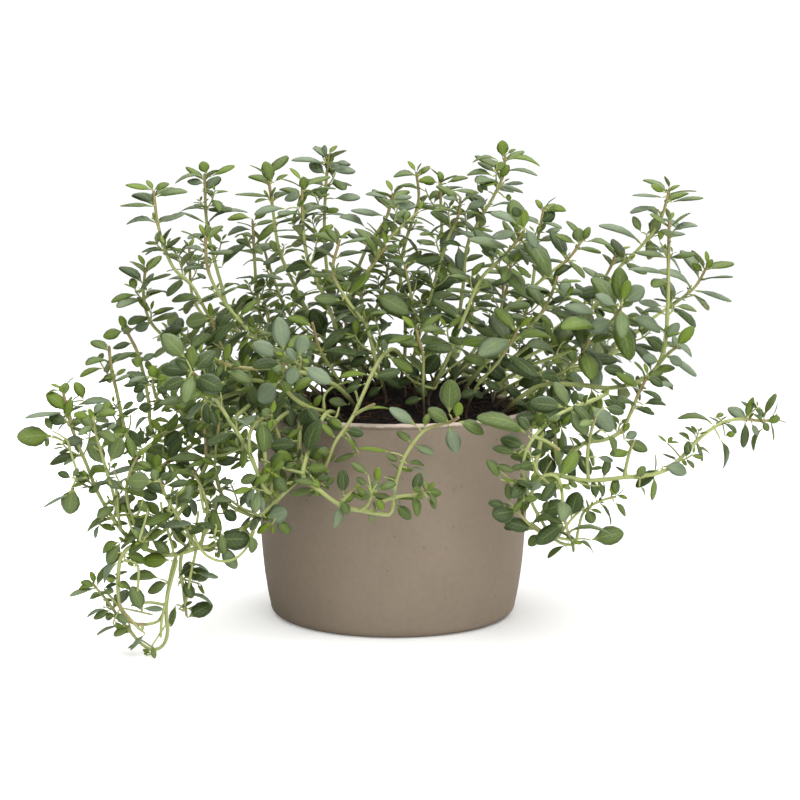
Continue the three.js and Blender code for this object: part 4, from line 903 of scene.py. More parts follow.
def keeps_clear(leaf, marks):
    """False if a chance leaf would hide a drawn one."""
    middle = Vector(leaf[:3]) + Quaternion(leaf[3:7]) @ Vector((0, 0.6 * leaf[7], 0))
    spot = drawn(middle)
    x, z = spot[0] - marks[:, 0], spot[2] - marks[:, 1]
    lengthwise = (x * marks[:, 2] + z * marks[:, 3]) / marks[:, 4]
    sideways = (z * marks[:, 2] - x * marks[:, 3]) / marks[:, 5]
    return not np.any((lengthwise ** 2 + sideways ** 2 < 1) & (middle.y < marks[:, 6]))


# %% Add them, and clear the view of them
# places that stay open to the eye, the soil at the front and the loop at the lower left: an
# ellipse's middle, its direction, its two half widths, and the depth before which no chance leaf
# stands
OPEN_PLACES = [(10, 90, 1, 0, 46, 9, 10), (-105, -2, 1, 0, 15, 18, 90)]

looks = see(plants)
for spots in TANGLE:
    add_drawn_stem(plants, looks, spots)
looks = see(plants)
by_chance = [len(plant.leaves) for plant in plants]
marks = np.array([add_drawn_leaf(plants, looks, row) for row in LEAVES] + OPEN_PLACES)
for plant, count in zip(plants, by_chance):
    plant.leaves = [leaf for leaf in plant.leaves[:count] if keeps_clear(leaf, marks)] \
        + plant.leaves[count:]
total = sum(len(plant.leaves) for plant in plants)
print("drawn leaves:", len(LEAVES), "of", total,
      "after leaving out", sum(by_chance) + len(LEAVES) - total)

# %% [markdown]
# ## The leaf
#
# A thyme leaf is a small blunt ellipse on a short stalk, 8 to 14 mm long, thick for its size. Its
# edge rolls slightly under and its middle vein is sunk. Six shapes are enough: from narrow and
# folded when young to broad and bowed when old. Each is a closed thin solid of only 64 faces,
# because it is repeated thousands of times, and each point remembers where it is on the leaf, which
# the material needs for the veins and the picture map for its place.

# %% Meshes and their numbers
def new_mesh(name, points, edges=(), faces=(), smooth=False):
    mesh = bpy.data.meshes.new(name)
    mesh.from_pydata(points, edges, faces)
    if smooth:
        mesh.polygons.foreach_set("use_smooth", [True] * len(faces))
    return mesh


def store(mesh, name, kind, values, domain="POINT"):
    """Gives every point or face of a mesh a named value."""
    field = "vector" if kind == "FLOAT_VECTOR" else "value"
    mesh.attributes.new(name, kind, domain).data.foreach_set(field, np.ravel(values))


# %% The shapes of a leaf, one unit long
STALK = 0.2                    # share of the length that is stalk
STALK_HALF_WIDTH = 0.035
HALF_THICKNESS = 0.018         # of the blade in the middle; the stalk has 1.4 times as much
ROWS = (0, 0.12, 0.24, 0.35, 0.54, 0.75, 0.9, 0.975, 1)     # of points, from foot to tip
COLUMNS = (-1, -0.5, 0, 0.5, 1)                             # of points, from edge to edge
# width; bow lifts the middle; droop lowers the tip; fold lifts both edges; roll turns them under;
# twist turns the tip about the leaf's length
LEAF_SHAPES = {
    "leaf_0_bud": (0.34, 0.02, -0.06, 0.55, 0.0, 0.0),
    "leaf_1_young": (0.50, 0.03, 0.04, 0.18, 0.10, 0.1),
    "leaf_2_flat": (0.50, 0.03, 0.05, 0.08, 0.12, -0.1),
    "leaf_3_bowed": (0.50, 0.08, 0.14, 0.10, 0.20, 0.15),
    "leaf_4_broad": (0.56, 0.05, 0.08, 0.05, 0.22, -0.15),
    "leaf_5_hanging": (0.50, 0.10, 0.24, 0.15, 0.15, 0.1),
}


def leaf_half_width(t, width):
    """The outline: the two powers set where the blade is widest and how blunt its ends are."""
    if t <= STALK:
        return STALK_HALF_WIDTH
    u = (t - STALK) / (1 - STALK)
    return max(STALK_HALF_WIDTH * (1 - u), width / 2 * math.sin(math.pi * u ** 0.88) ** 0.54)


def leaf_point(t, s, side, width, bow, droop, fold, roll, twist):
    """A point at t of the length and s of the half width, above (side 1) or below (side -1)."""
    half = leaf_half_width(t, width)
    u = max(0, (t - STALK) / (1 - STALK))
    x = half * s
    z = bow * math.sin(math.pi * t) - droop * u ** 2.2
    z += fold * abs(x) - roll * half * abs(s) ** 3
    z += twist * x * u
    z += side * HALF_THICKNESS * (1 - s * s) * (1 if t > STALK else 1.4)
    return x, t - 0.5 * droop * droop * u ** 2, z


def make_leaf_shape(name, width, *bends):
    """A leaf along +Y that faces +Z."""
    corners, places, faces, under = [], [], [], []

    def corner(t, s, side):
        corners.append(leaf_point(t, s, side, width, *bends))
        places.append((s, t, leaf_half_width(t, width) * s / (width / 2)))
        return len(corners) - 1

    first = corner(ROWS[0], 0, 0)
    rims = {row: (corner(row, -1, 0), corner(row, 1, 0)) for row in ROWS[1:-1]}
    last = corner(ROWS[-1], 0, 0)
    for side in (1, -1):
        grid = [[rims[row][0], *(corner(row, s, side) for s in COLUMNS[1:-1]), rims[row][1]]
                for row in ROWS[1:-1]]
        skin = []
        for low, high in zip(grid, grid[1:]):
            skin += [(low[i], low[i + 1], high[i + 1], high[i]) for i in range(len(low) - 1)]
        skin += [(first, b, a) for a, b in zip(grid[0], grid[0][1:])]
        skin += [(last, a, b) for a, b in zip(grid[-1], grid[-1][1:])]
        faces += [face[::side] for face in skin]
        under += [float(side < 0)] * len(skin)
    mesh = new_mesh(name, corners, faces=faces, smooth=True)
    store(mesh, "blade", "FLOAT_VECTOR", places)
    store(mesh, "under", "FLOAT", under, "FACE")
    store(mesh, "leafy", "BOOLEAN", [True] * len(faces), "FACE")
    mesh.update()
    return bpy.data.objects.new(name, mesh)


def collect(name, objects):
    """A collection that only a node tree reads."""
    collection = bpy.data.collections.new(name)
    for thing in objects:
        collection.objects.link(thing)
    return collection


leaf_shapes = collect("leaf_shapes", [make_leaf_shape(name, *numbers)
                                      for name, numbers in LEAF_SHAPES.items()])

# %% [markdown]
# ## Node trees from short lines
#
# A node tree is easier to read when each node is one line that names its kind, its settings and
# what feeds it. The same few helpers do this for geometry and for shaders.

# %% Helpers for node trees
def add(tree, kind, inputs=None, **settings):
    """Adds a node. An input gets a value, or a link from a socket or from a node's first one."""
    node = tree.nodes.new(kind)
    for key, value in settings.items():
        setattr(node, key, value)
    for key, value in (inputs or {}).items():
        if isinstance(value, bpy.types.Node):
            value = value.outputs[0]
        if isinstance(value, bpy.types.NodeSocket):
            tree.links.new(value, node.inputs[key])
        else:
            node.inputs[key].default_value = value
    return node


def new_tree(name, kind, inputs, outputs):
    """A node group with named sockets, and the sockets that its input node gives."""
    tree = bpy.data.node_groups.new(name, kind)
    for way, sockets in (("OUTPUT", outputs), ("INPUT", inputs)):
        for socket, value in sockets.items():
            tree.interface.new_socket(socket, in_out=way, socket_type="NodeSocket" + value)
    return tree, add(tree, "NodeGroupInput").outputs


def math_node(tree, operation, *values):
    return add(tree, "ShaderNodeMath", dict(enumerate(values)), operation=operation)


def times(tree, first, second):
    return math_node(tree, "MULTIPLY", first, second)


def component(tree, vector, index):
    """One of the three numbers of a vector."""
    return add(tree, "ShaderNodeSeparateXYZ", {0: vector}).outputs[index]


# %% [markdown]
# ## A node tree that builds a plant
#
# The tree gets a bare mesh: a chain of edges for each stem and a loose point for each leaf, both
# with named numbers on their points. It sweeps a rounded square along the chains, because thyme's
# stems are four-sided, and it sets a leaf shape on each loose point, so that one modifier grows all
# the leaves of a plant.

# %% The plant tree
STEM_SECTION = 1.85            # the side of the stem's square, for a stem of radius one


def named(tree, name, kind="FLOAT"):
    """The output of a Named Attribute node."""
    return add(tree, "GeometryNodeInputNamedAttribute", {"Name": name},
               data_type=kind).outputs["Attribute"]


def set_down(tree, points, things, inputs):
    """Sets one thing of a collection on each point."""
    shapes = add(tree, "GeometryNodeCollectionInfo",
                 {"Collection": things, "Separate Children": True, "Reset Children": True})
    return add(tree, "GeometryNodeInstanceOnPoints",
               {"Points": points, "Instance": shapes, "Pick Instance": True, **inputs})


def plant_tree():
    tree, given = new_tree("Leafy stems", "GeometryNodeTree", {
        "Skeleton": "Geometry", "Stem squareness": "Float", "Leaf size": "Float",
        "Leaf shapes": "Collection", "Stem material": "Material", "Leaf material": "Material",
    }, {"Geometry": "Geometry"})
    parts = add(tree, "GeometryNodeSeparateGeometry",
                {"Geometry": given["Skeleton"], "Selection": named(tree, "is_leaf", "BOOLEAN")},
                domain="POINT")

    square = add(tree, "GeometryNodeCurvePrimitiveQuadrilateral",
                 {"Width": STEM_SECTION, "Height": STEM_SECTION})
    rounded = add(tree, "GeometryNodeFilletCurve",
                  {"Curve": square, "Radius": given["Stem squareness"]}, mode="POLY")
    around = add(tree, "GeometryNodeStoreNamedAttribute",
                 {"Geometry": rounded, "Name": "around",
                  "Value": add(tree, "GeometryNodeSplineParameter").outputs["Factor"]},
                 domain="POINT")
    chain = add(tree, "GeometryNodeMeshToCurve", {"Mesh": parts.outputs["Inverted"]})
    sweep = add(tree, "GeometryNodeCurveToMesh",
                {"Curve": chain, "Profile Curve": around,
                 "Scale": named(tree, "thickness"), "Fill Caps": True})
    smooth = add(tree, "GeometryNodeSetShadeSmooth", {"Geometry": sweep})

    scale = add(tree, "ShaderNodeVectorMath",
                {0: named(tree, "size", "FLOAT_VECTOR"), "Scale": given["Leaf size"]},
                operation="SCALE")
    leaves = set_down(tree, parts.outputs["Selection"], given["Leaf shapes"],
                      {"Instance Index": named(tree, "shape", "INT"),
                       "Rotation": named(tree, "turn", "QUATERNION"), "Scale": scale})

    join = add(tree, "GeometryNodeJoinGeometry")
    for part in (leaves, smooth):
        tree.links.new(part.outputs[0], join.inputs[0])
    real = add(tree, "GeometryNodeRealizeInstances", {"Geometry": join})
    stems = add(tree, "GeometryNodeSetMaterial",
                {"Geometry": real, "Material": given["Stem material"]})
    leafy = add(tree, "GeometryNodeSetMaterial",
                {"Geometry": stems, "Material": given["Leaf material"],
                 "Selection": named(tree, "leafy", "BOOLEAN")})
    add(tree, "NodeGroupOutput", {0: leafy})
    return tree


PLANT_TREE = plant_tree()
print("the plant tree has", len(PLANT_TREE.nodes), "nodes")

# %% The skeleton that the tree gets
WOODY_FOOT = 15                # how far a stem from the soil is brown
GROWN_STEM = 45                # how far below its tip a stem is fully grown
KNOT_REACH = 1.3               # how far a swollen joint reaches along the stem
KNOT_SWELLING = 0.18           # and by how much it is thicker


def stem_rows(number, stem):
    """For each point of a stem: thickness, age, knot, number, place along it, and wood, which also
    holds the stem's least brown, a painted shade.
    """
    for i in range(len(stem.path)):
        distance = stem.length - i * stem.step
        near = min((abs(distance - joint) for joint in stem.joints), default=99)
        knot = math.exp(-(near / KNOT_REACH) ** 2)
        age = min(1, stem.green + distance / GROWN_STEM)
        wood = math.exp(-((stem.length - distance) / WOODY_FOOT) ** 4) if stem.woody else 0
        yield (stem.radius(distance) * (1 + KNOT_SWELLING * knot) * MM, age, knot, number,
               distance * MM, max(wood, stem.brown))


def skeleton(plant):
    """A mesh of edge chains for the stems and loose points for the leaves."""
    points, edges, rows = [], [], []
    for number, stem in enumerate(plant.stems):
        edges += [(len(points) + i, len(points) + i + 1) for i in range(len(stem.path) - 1)]
        points += [place * MM for place in stem.path]
        rows += stem_rows(number, stem)
    stems, leaves = np.array(rows), np.array(plant.leaves)
    points += [Vector(leaf[:3]) * MM for leaf in plant.leaves]
    mesh = new_mesh(plant.name + "_skeleton", points, edges)

    def store_both(name, kind, on_stems, on_leaves):
        values = np.concatenate([np.broadcast_to(on_stems, len(stems)),
                                 np.broadcast_to(on_leaves, len(leaves))])
        store(mesh, name, kind, values.astype({"FLOAT": float, "INT": int, "BOOLEAN": bool}[kind]))

    store_both("is_leaf", "BOOLEAN", 0, 1)
    store_both("thickness", "FLOAT", stems[:, 0], 0)
    store_both("age", "FLOAT", stems[:, 1], leaves[:, 10])
    store_both("knot", "FLOAT", stems[:, 2], 0)
    store_both("number", "INT", stems[:, 3], np.arange(len(leaves)))
    store_both("along", "FLOAT", stems[:, 4], 0)
    store_both("wood", "FLOAT", stems[:, 5], 0)
    store_both("tone", "FLOAT", 0, leaves[:, 9])
    store_both("shape", "INT", 0, leaves[:, 11])
    unturned = np.tile((1.0, 0, 0, 0), (len(stems), 1))
    store(mesh, "turn", "QUATERNION", np.vstack([unturned, leaves[:, 3:7]]))
    length, stretch = leaves[:, 7] * MM, leaves[:, 8]
    sizes = np.column_stack([length * stretch, length, length])
    store(mesh, "size", "FLOAT_VECTOR", np.vstack([np.zeros((len(stems), 3)), sizes]))
    return mesh


# %% [markdown]
# ## Materials
#
# All finishes are made of nodes, so they need no pictures and hold at any size. Leaf and stem read
# the numbers that the tree stored: where a point is on its leaf, and how old its leaf or stem is.
# Pot and soil read Object coordinates, in metres, which stay put because every finished piece's
# object sits at the origin.

# %% Colours and a shared effect
def srgb(red, green, blue):
    """A colour as a picture shows it, from 0 to 255, in the linear numbers that shaders use."""
    linear = [c / 12.92 if c <= 0.04045 else ((c + 0.055) / 1.055) ** 2.4
              for c in (red / 255, green / 255, blue / 255)]
    return (*linear, 1)


def ramp(tree, value, start, end, smooth=True):
    """0 where the value is at start, 1 where it is at end."""
    return add(tree, "ShaderNodeMapRange",
               {"Value": value, "From Min": min(start, end), "From Max": max(start, end),
                "To Min": float(start > end), "To Max": float(start < end)},
               interpolation_type="SMOOTHSTEP" if smooth else "LINEAR")


def mix(tree, share, first, second, most=1):
    """The first colour with a share of the second over it, at most so much of it."""
    if most < 1:
        share = times(tree, share, most)
    return add(tree, "ShaderNodeMix", {0: share, 6: first, 7: second},
               data_type="RGBA").outputs[2]


def attribute(tree, name, output="Fac"):
    return add(tree, "ShaderNodeAttribute", attribute_name=name).outputs[output]


def object_place(tree):
    return add(tree, "ShaderNodeTexCoord").outputs["Object"]


def mottle_group():
    """Uneven patches at two sizes, as natural and cast surfaces have."""
    tree, given = new_tree("Mottle", "ShaderNodeTree",
                           {"Patch scale": "Float", "Grain scale": "Float"},
                           {"Patches": "Float", "Grain": "Float"})
    place = object_place(tree)
    values = {}
    for i, (detail, roughness) in enumerate(((3.0, 0.6), (4.0, 0.65))):
        cloud = add(tree, "ShaderNodeTexNoise",
                    {"Vector": place, "Scale": given[i], "Detail": detail, "Roughness": roughness})
        values[i] = ramp(tree, cloud.outputs["Fac"], 0.3, 0.7)
    add(tree, "NodeGroupOutput", values)
    return tree


MOTTLE = mottle_group()
print("the shared effect has", len(MOTTLE.nodes), "nodes")


def mottle(tree, patch_scale, grain_scale):
    """The shared effect in one material; both scales are in patches per metre."""
    node = add(tree, "ShaderNodeGroup",
               {"Patch scale": patch_scale, "Grain scale": grain_scale}, node_tree=MOTTLE)
    return node.outputs["Patches"], node.outputs["Grain"]


def new_material(name):
    material = bpy.data.materials.new(name)
    material.use_nodes = True
    material.node_tree.nodes.clear()
    return material, material.node_tree


def bump(tree, height, strength, distance):
    return add(tree, "ShaderNodeBump",
               {"Height": height, "Strength": strength, "Distance": distance})


def skin(tree, color, roughness, specular, normal):
    return add(tree, "ShaderNodeBsdfPrincipled",
               {"Base Color": color, "Roughness": roughness, "Specular IOR Level": specular,
                "Normal": normal})


def show(tree, shader):
    add(tree, "ShaderNodeOutputMaterial", {"Surface": shader})


# %% The leaf's finish
LEAF_YOUNG = srgb(114, 136, 24)
LEAF_BRIGHT = srgb(106, 130, 28)
LEAF_MATURE = srgb(98, 115, 56)
LEAF_DEEP = srgb(62, 79, 40)
LEAF_BLUE = srgb(124, 139, 116)
LEAF_SHEEN = srgb(148, 160, 142)
LEAF_UNDER = srgb(150, 160, 112)
LEAF_VEIN = srgb(156, 172, 106)
LEAF_GLOW = srgb(160, 182, 32)
LEAF_STALK = srgb(140, 154, 84)
VEINS = 7.0                    # side veins on each half of a leaf
VEIN_SLANT = 1.7               # how much they slant towards the tip
LEAF_GLOW_SHARE = 0.18         # of the light, which shines through the leaf


def leaf_pattern(tree, across, length):
    """Masks of the middle vein, the side veins and the edge."""
    midrib = times(tree, ramp(tree, across, 0.1, 0.02), ramp(tree, length, 0.97, 0.7))
    slant = math_node(tree, "SUBTRACT", times(tree, length, VEINS),
                      times(tree, across, VEIN_SLANT))
    wave = math_node(tree, "PINGPONG", slant, 0.5)
    veins = times(tree, ramp(tree, wave, 0.16, 0.0), ramp(tree, across, 0.85, 0.5))
    return midrib, veins, ramp(tree, across, 0.84, 1.0)


def grown_leaf_color(tree, tone):
    """Tones run from bluish through green to deep, and some tones in between are bright."""
    color = mix(tree, ramp(tree, tone, 0.0, 0.35, False), LEAF_BLUE, LEAF_MATURE)
    color = mix(tree, ramp(tree, tone, 0.4, 0.75, False), color, LEAF_DEEP)
    second_tone = math_node(tree, "FRACT", times(tree, tone, 7.31))
    return mix(tree, ramp(tree, second_tone, 0.7, 0.95, False), color, LEAF_BRIGHT, 0.8)


def leaf_material():
    material, tree = new_material("thyme_leaf")
    blade = attribute(tree, "blade", "Vector")
    across = math_node(tree, "ABSOLUTE", component(tree, blade, 0))
    length = component(tree, blade, 1)
    age, tone, under = (attribute(tree, name) for name in ("age", "tone", "under"))
    patches, grain = mottle(tree, 120.0, 1800.0)
    midrib, veins, edge = leaf_pattern(tree, across, length)

    color = mix(tree, ramp(tree, age, 0.1, 0.75), LEAF_YOUNG, grown_leaf_color(tree, tone))
    color = mix(tree, patches, color, LEAF_DEEP, 0.3)
    pale = math_node(tree, "MAXIMUM", times(tree, midrib, 0.32),
                     math_node(tree, "MAXIMUM", times(tree, veins, 0.16), times(tree, edge, 0.25)))
    color = mix(tree, pale, color, LEAF_VEIN)
    # painted sheen: towards grazing angles a grown leaf's colour turns pale grey-green, in place of the
    # reflection of the bright surroundings on its waxy skin
    glance = add(tree, "ShaderNodeLayerWeight", {"Blend": 0.4}).outputs["Facing"]
    color = mix(tree, times(tree, ramp(tree, glance, 0.45, 1.0), times(tree, age, 0.55)),
                color, LEAF_SHEEN)
    color = mix(tree, under, color, LEAF_UNDER, 0.8)
    color = mix(tree, ramp(tree, length, STALK + 0.04, STALK - 0.06), color, LEAF_STALK)

    sunk = math_node(tree, "MAXIMUM", midrib, times(tree, veins, 0.8))
    normal = bump(tree, math_node(tree, "SUBTRACT", times(tree, grain, 0.15), sunk), 0.35, 0.0001)
    rough = add(tree, "ShaderNodeMapRange",
                {"Value": under, "To Min": 0.46, "To Max": 0.7})
    glow = add(tree, "ShaderNodeBsdfTranslucent",
               {"Color": mix(tree, 0.5, color, LEAF_GLOW), "Normal": normal})
    show(tree, add(tree, "ShaderNodeMixShader",
                   {0: LEAF_GLOW_SHARE, 1: skin(tree, color, rough, 0.3, normal),
                    2: glow}))
    return material


# %% The stem's finish
STEM_GREEN = srgb(162, 172, 104)
STEM_TIP = srgb(150, 154, 84)
STEM_RED = srgb(148, 110, 86)
STEM_GRAIN = srgb(130, 146, 74)
STEM_WOOD = srgb(66, 50, 38)


def stem_material():
    """Green below, flushed red near the tip and at the joints, brown at a foot in the soil, and brown
    as a painted shade on stems that hang in front and to the sides.
    """
    material, tree = new_material("thyme_stem")
    age, knot = attribute(tree, "age"), attribute(tree, "knot")
    patches, grain = mottle(tree, 90.0, 1500.0)
    color = mix(tree, ramp(tree, age, 0.0, 0.5), STEM_TIP, STEM_GREEN)
    flush = times(tree, ramp(tree, age, 0.55, 0.1),
                  math_node(tree, "MULTIPLY_ADD", patches, 0.5, 0.45))
    red = math_node(tree, "MAXIMUM", times(tree, knot, ramp(tree, age, 1.0, 0.1)), flush)
    color = mix(tree, red, color, STEM_RED, 0.8)
    color = mix(tree, grain, color, STEM_GRAIN, 0.25)
    # wood also carries the painted shade: stems that hang in front and to the sides are darkened
    # towards brown
    color = mix(tree, attribute(tree, "wood"), color, STEM_WOOD)
    show(tree, skin(tree, color, 0.5, 0.5, bump(tree, grain, 0.3, 0.0002)))
    return material


leaf_finish, stem_finish = leaf_material(), stem_material()
print("finishes:", leaf_finish.name, stem_finish.name)

# %% [markdown]
# ## One piece for each plant
#
# The tree runs once per plant, and its result is kept as a plain mesh. Each leaf then gets its own
# cell of the picture map, upper side on the left and underside on the right, and each stem its own
# row, so that nothing overlaps when the finishes are baked for other programs.

# %% The picture map
STEM_SHARE = 0.22              # of the picture map's height


def read(mesh, name, width=1):
    """The stored values of a mesh, one row for each point or face."""
    values = np.zeros(len(mesh.attributes[name].data) * width)
    mesh.attributes[name].data.foreach_get("value" if width == 1 else "vector", values)
    return values.reshape(-1, width) if width > 1 else values


def lay_out_map(mesh, stems, leaves):
    """The picture map: a cell for each leaf, a row for each stem."""
    corner = np.zeros(len(mesh.loops), int)
    mesh.loops.foreach_get("vertex_index", corner)
    face_of = np.repeat(np.arange(len(mesh.polygons)),
                        np.array([len(p.vertices) for p in mesh.polygons]))
    leafy = read(mesh, "leafy")[face_of] > 0.5
    under = read(mesh, "under")[face_of] > 0.5
    number = read(mesh, "number")[corner]
    blade = read(mesh, "blade", 3)[corner]
    columns = max(1, math.ceil(math.sqrt(leaves / (1 - STEM_SHARE))))
    cell_high = (1 - STEM_SHARE) / math.ceil(leaves / columns)
    # a leaf's two sides lie about a quarter and three quarters of its cell, with a margin
    u_leaf = (number % columns + 0.25 + 0.5 * under + 0.21 * blade[:, 2]) / columns
    v_leaf = STEM_SHARE + (number // columns + 0.06 + 0.88 * blade[:, 1]) * cell_high

    # the way round a stem starts anew after 1, so a face across that seam is brought together
    around = read(mesh, "around")[corner]
    start = np.zeros(len(mesh.polygons), int)
    mesh.polygons.foreach_get("loop_start", start)
    first = around[start][face_of]
    around = np.where(around - first > 0.5, around - 1, around)
    around = np.where(first - around > 0.5, around + 1, around)
    longest = max(stem.length for stem in stems) * MM
    u_stem = 0.01 + 0.98 * read(mesh, "along")[corner] / longest
    v_stem = STEM_SHARE * (number + 0.1 + 0.8 * np.clip(around, 0, 1)) / len(stems)
    uv = np.column_stack([np.where(leafy, u_leaf, u_stem), np.where(leafy, v_leaf, v_stem)])
    mesh.uv_layers.new(name="map").data.foreach_set("uv", uv.ravel())


# %% Build the plants
def put(name, data):
    """A new object in the scene, at the origin."""
    thing = bpy.data.objects.new(name, data)
    bpy.context.scene.collection.objects.link(thing)
    return thing


def grow_piece(name, mesh, tree, inputs):
    """Runs a node tree on a mesh and keeps the result as a piece with a plain mesh."""
    holder = put(name + "_holder", mesh)
    modifier = holder.modifiers.new("grow", "NODES")
    modifier.node_group = tree
    for key, value in inputs.items():
        socket = next(s for s in tree.interface.items_tree
                      if s.name == key and s.in_out == "INPUT")
        modifier[socket.identifier] = value
    bpy.context.view_layer.update()
    grown = holder.evaluated_get(bpy.context.evaluated_depsgraph_get())
    result = bpy.data.meshes.new_from_object(grown)
    bpy.data.objects.remove(holder)
    return put(name, result)


triangles = 0
for plant in plants:
    piece = grow_piece("thyme_" + plant.name, skeleton(plant), PLANT_TREE, {
        "Stem squareness": 0.62, "Leaf size": 1.0, "Leaf shapes": leaf_shapes,
        "Stem material": stem_finish, "Leaf material": leaf_finish})
    lay_out_map(piece.data, plant.stems, len(plant.leaves))
    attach(piece, "root")
    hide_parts(plant.name)
    triangles += sum(len(p.vertices) - 2 for p in piece.data.polygons)
print("thyme:", len(plants), "pieces,", triangles, "triangles")

# %% [markdown]
# ## The pot
#
# The pot is turned, so its mesh is a profile carried round the axis. The rim is a soft, slightly
# uneven lip with a fine shadow line below it, and the side is a little wavy and out of true, as on
# a pressed pot; both come from small moves of the points, not only from bump. Its finish adds a
# painted highlight on the lip's top and a painted shadow in the line.

# %% Turn the pot
SEGMENTS = 160                 # round the axis
LINE_HEIGHTS = (88.4, 88.9, 89.3)                  # of the fine groove below the lip
LINE_DEPTHS = (0.05, 0.22, 0.05)
# the lip's outline: radius and height, from the outside over the top
LIP = ((60.05, 89.8), (59.95, 90.4), (59.5, 90.85), (58.8, POT_HEIGHT), (58.1, 90.85),
       (57.7, 90.4), (57.6, 89.6))


def turned(name, profile, move):
    """A closed turned mesh: profile starts and ends on the axis. move may shift each point."""
    def at(row, i):
        return 1 + row * SEGMENTS + i % SEGMENTS

    points, faces = [Vector((0, 0, profile[0][1])) * MM], []
    for radius, z in profile[1:-1]:
        for i in range(SEGMENTS):
            turn = 2 * math.pi * i / SEGMENTS
            points.append(move(Vector((radius * math.cos(turn), radius * math.sin(turn), z))) * MM)
    points.append(Vector((0, 0, profile[-1][1])) * MM)
    last = len(profile) - 3
    for i in range(SEGMENTS):
        faces.append((0, at(0, i + 1), at(0, i)))
        faces += [(at(row, i), at(row, i + 1), at(row + 1, i + 1), at(row + 1, i))
                  for row in range(last)]
        faces.append((at(last, i), at(last, i + 1), len(points) - 1))
    return put(name, new_mesh(name, points, faces=faces, smooth=True))


def pot_profile():
    """From the middle of the base up the outside, over the lip and down the inside."""
    corner = [(pot_radius(POT_CORNER) - POT_CORNER * (1 - math.sin(a)),
               POT_CORNER * (1 - math.cos(a))) for a in np.linspace(0, math.pi / 2, 7)]
    outside = [(pot_radius(z), z) for z in np.linspace(5, 87.5, 24)]
    line = [(pot_radius(z) - depth, z) for z, depth in zip(LINE_HEIGHTS, LINE_DEPTHS)]
    inside = [(pot_radius(z) - POT_WALL, z) for z in np.linspace(88, 6, 16)]
    floor = [(pot_radius(POT_FLOOR) - POT_WALL - 1, POT_FLOOR + 0.5), (40, POT_FLOOR),
             (0, POT_FLOOR)]
    return [(0, 0), (25, 0), (45, 0), *corner, *outside, *line, *LIP, *inside, *floor]


OUT_OF_TRUE = 1.15             # how much narrower the foot is all round, and how far to the left
FULL_DEPTH = 60                # below the rim, where it is reached
LIP_FROM = 88                  # above this height the rim's own irregularities start


def out_of_true(point):
    """The real pot isn't turned quite true: its foot is a little narrow, and off to the left."""
    share = min(1, max(0, (POT_HEIGHT - point.z) / FULL_DEPTH))
    shift = OUT_OF_TRUE * share * share * (3 - 2 * share)
    narrower = 1 - shift / POT_RIM_RADIUS
    return Vector((point.x * narrower - shift, point.y * narrower, point.z))


def unevenness(point):
    """Small irregularities: waves in the side, and a ragged edge on the lip. The base is flat."""
    point = out_of_true(point)
    if point.z < 1:
        return point
    side = noise.noise(point * 0.035) * 0.18 + noise.noise(point * 0.12) * 0.05
    if point.z > LIP_FROM:
        side += noise.noise(point * 0.45) * 0.12
        point = point + Vector((0, 0, noise.noise(point * 0.3) * 0.22))
    return point + Vector((point.x, point.y, 0)).normalized() * side


# %% The pot's finish
POT_TAUPE = srgb(131, 118, 103)
POT_PATCH = srgb(123, 110, 95)
POT_GRAIN = srgb(144, 132, 116)
POT_SPECK = srgb(92, 80, 68)
POT_LIP_HIGHLIGHT = srgb(198, 181, 168)
POT_SHADOW_LINE = srgb(80, 68, 58)


def pot_material():
    """Matte taupe with patches, grain and a few dark specks, a painted highlight on the lip's top and a
    painted shadow in the line below it.
    """
    material, tree = new_material("pot_taupe")
    place = object_place(tree)
    height = component(tree, place, 2)
    patches, grain = mottle(tree, 38.0, 420.0)
    color = mix(tree, patches, POT_TAUPE, POT_PATCH, 0.5)
    color = mix(tree, grain, color, POT_GRAIN, 0.22)
    cells = add(tree, "ShaderNodeTexVoronoi",
                {"Vector": place, "Scale": 330.0, "Randomness": 1.0}, feature="F1")
    chance = add(tree, "ShaderNodeSeparateColor", {0: cells.outputs["Color"]})
    speck = times(tree, ramp(tree, cells.outputs["Distance"], 0.26, 0.1),
                  math_node(tree, "GREATER_THAN", chance, 0.9))
    color = mix(tree, speck, color, POT_SPECK, 0.35)
    # painted highlight: the lip's top is painted pale, in place of the light it catches from above
    ragged = math_node(tree, "ADD", height, times(tree, grain, 0.0006))
    color = mix(tree, ramp(tree, ragged, 0.0897, 0.0905), color, POT_LIP_HIGHLIGHT, 0.85)
    # painted shadow: a dark line in the groove below the lip, where the lip shades the side
    line = times(tree, ramp(tree, height, 0.0883, 0.0888), ramp(tree, height, 0.0896, 0.0891))
    color = mix(tree, times(tree, line, times(tree, patches, 0.6)), color, POT_SHADOW_LINE)
    relief = math_node(tree, "SUBTRACT", times(tree, grain, 0.6), speck)
    show(tree, skin(tree, color, 0.68, 0.14, bump(tree, relief, 0.25, 0.0004)))
    return material


pot = turned("pot_shell", pot_profile(), unevenness)
pot.data.materials.append(pot_material())
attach(pot, "root")
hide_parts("pot")
print("pot:", len(pot.data.polygons), "faces")

# %% [markdown]
# ## The soil
#
# Peat compost is a mat of crumbs and thin reddish fibres. Its bed is a turned mound roughened by
# fractal noise; crumbs and fibres are then scattered over it by a node tree, the crumbs dense
# enough to break its outline everywhere, the fibres few, thin and lying flat.

# %% The bed
SOIL_RADIUS = pot_radius(SOIL_EDGE) - POT_WALL
SOIL_GAP = 0.4                 # between the soil and the pot
HUMPS = ((34, 2, 9.5, 13), (-20, 6, 4, 12), (10, 8, 2.5, 12))    # x, y, height and half width


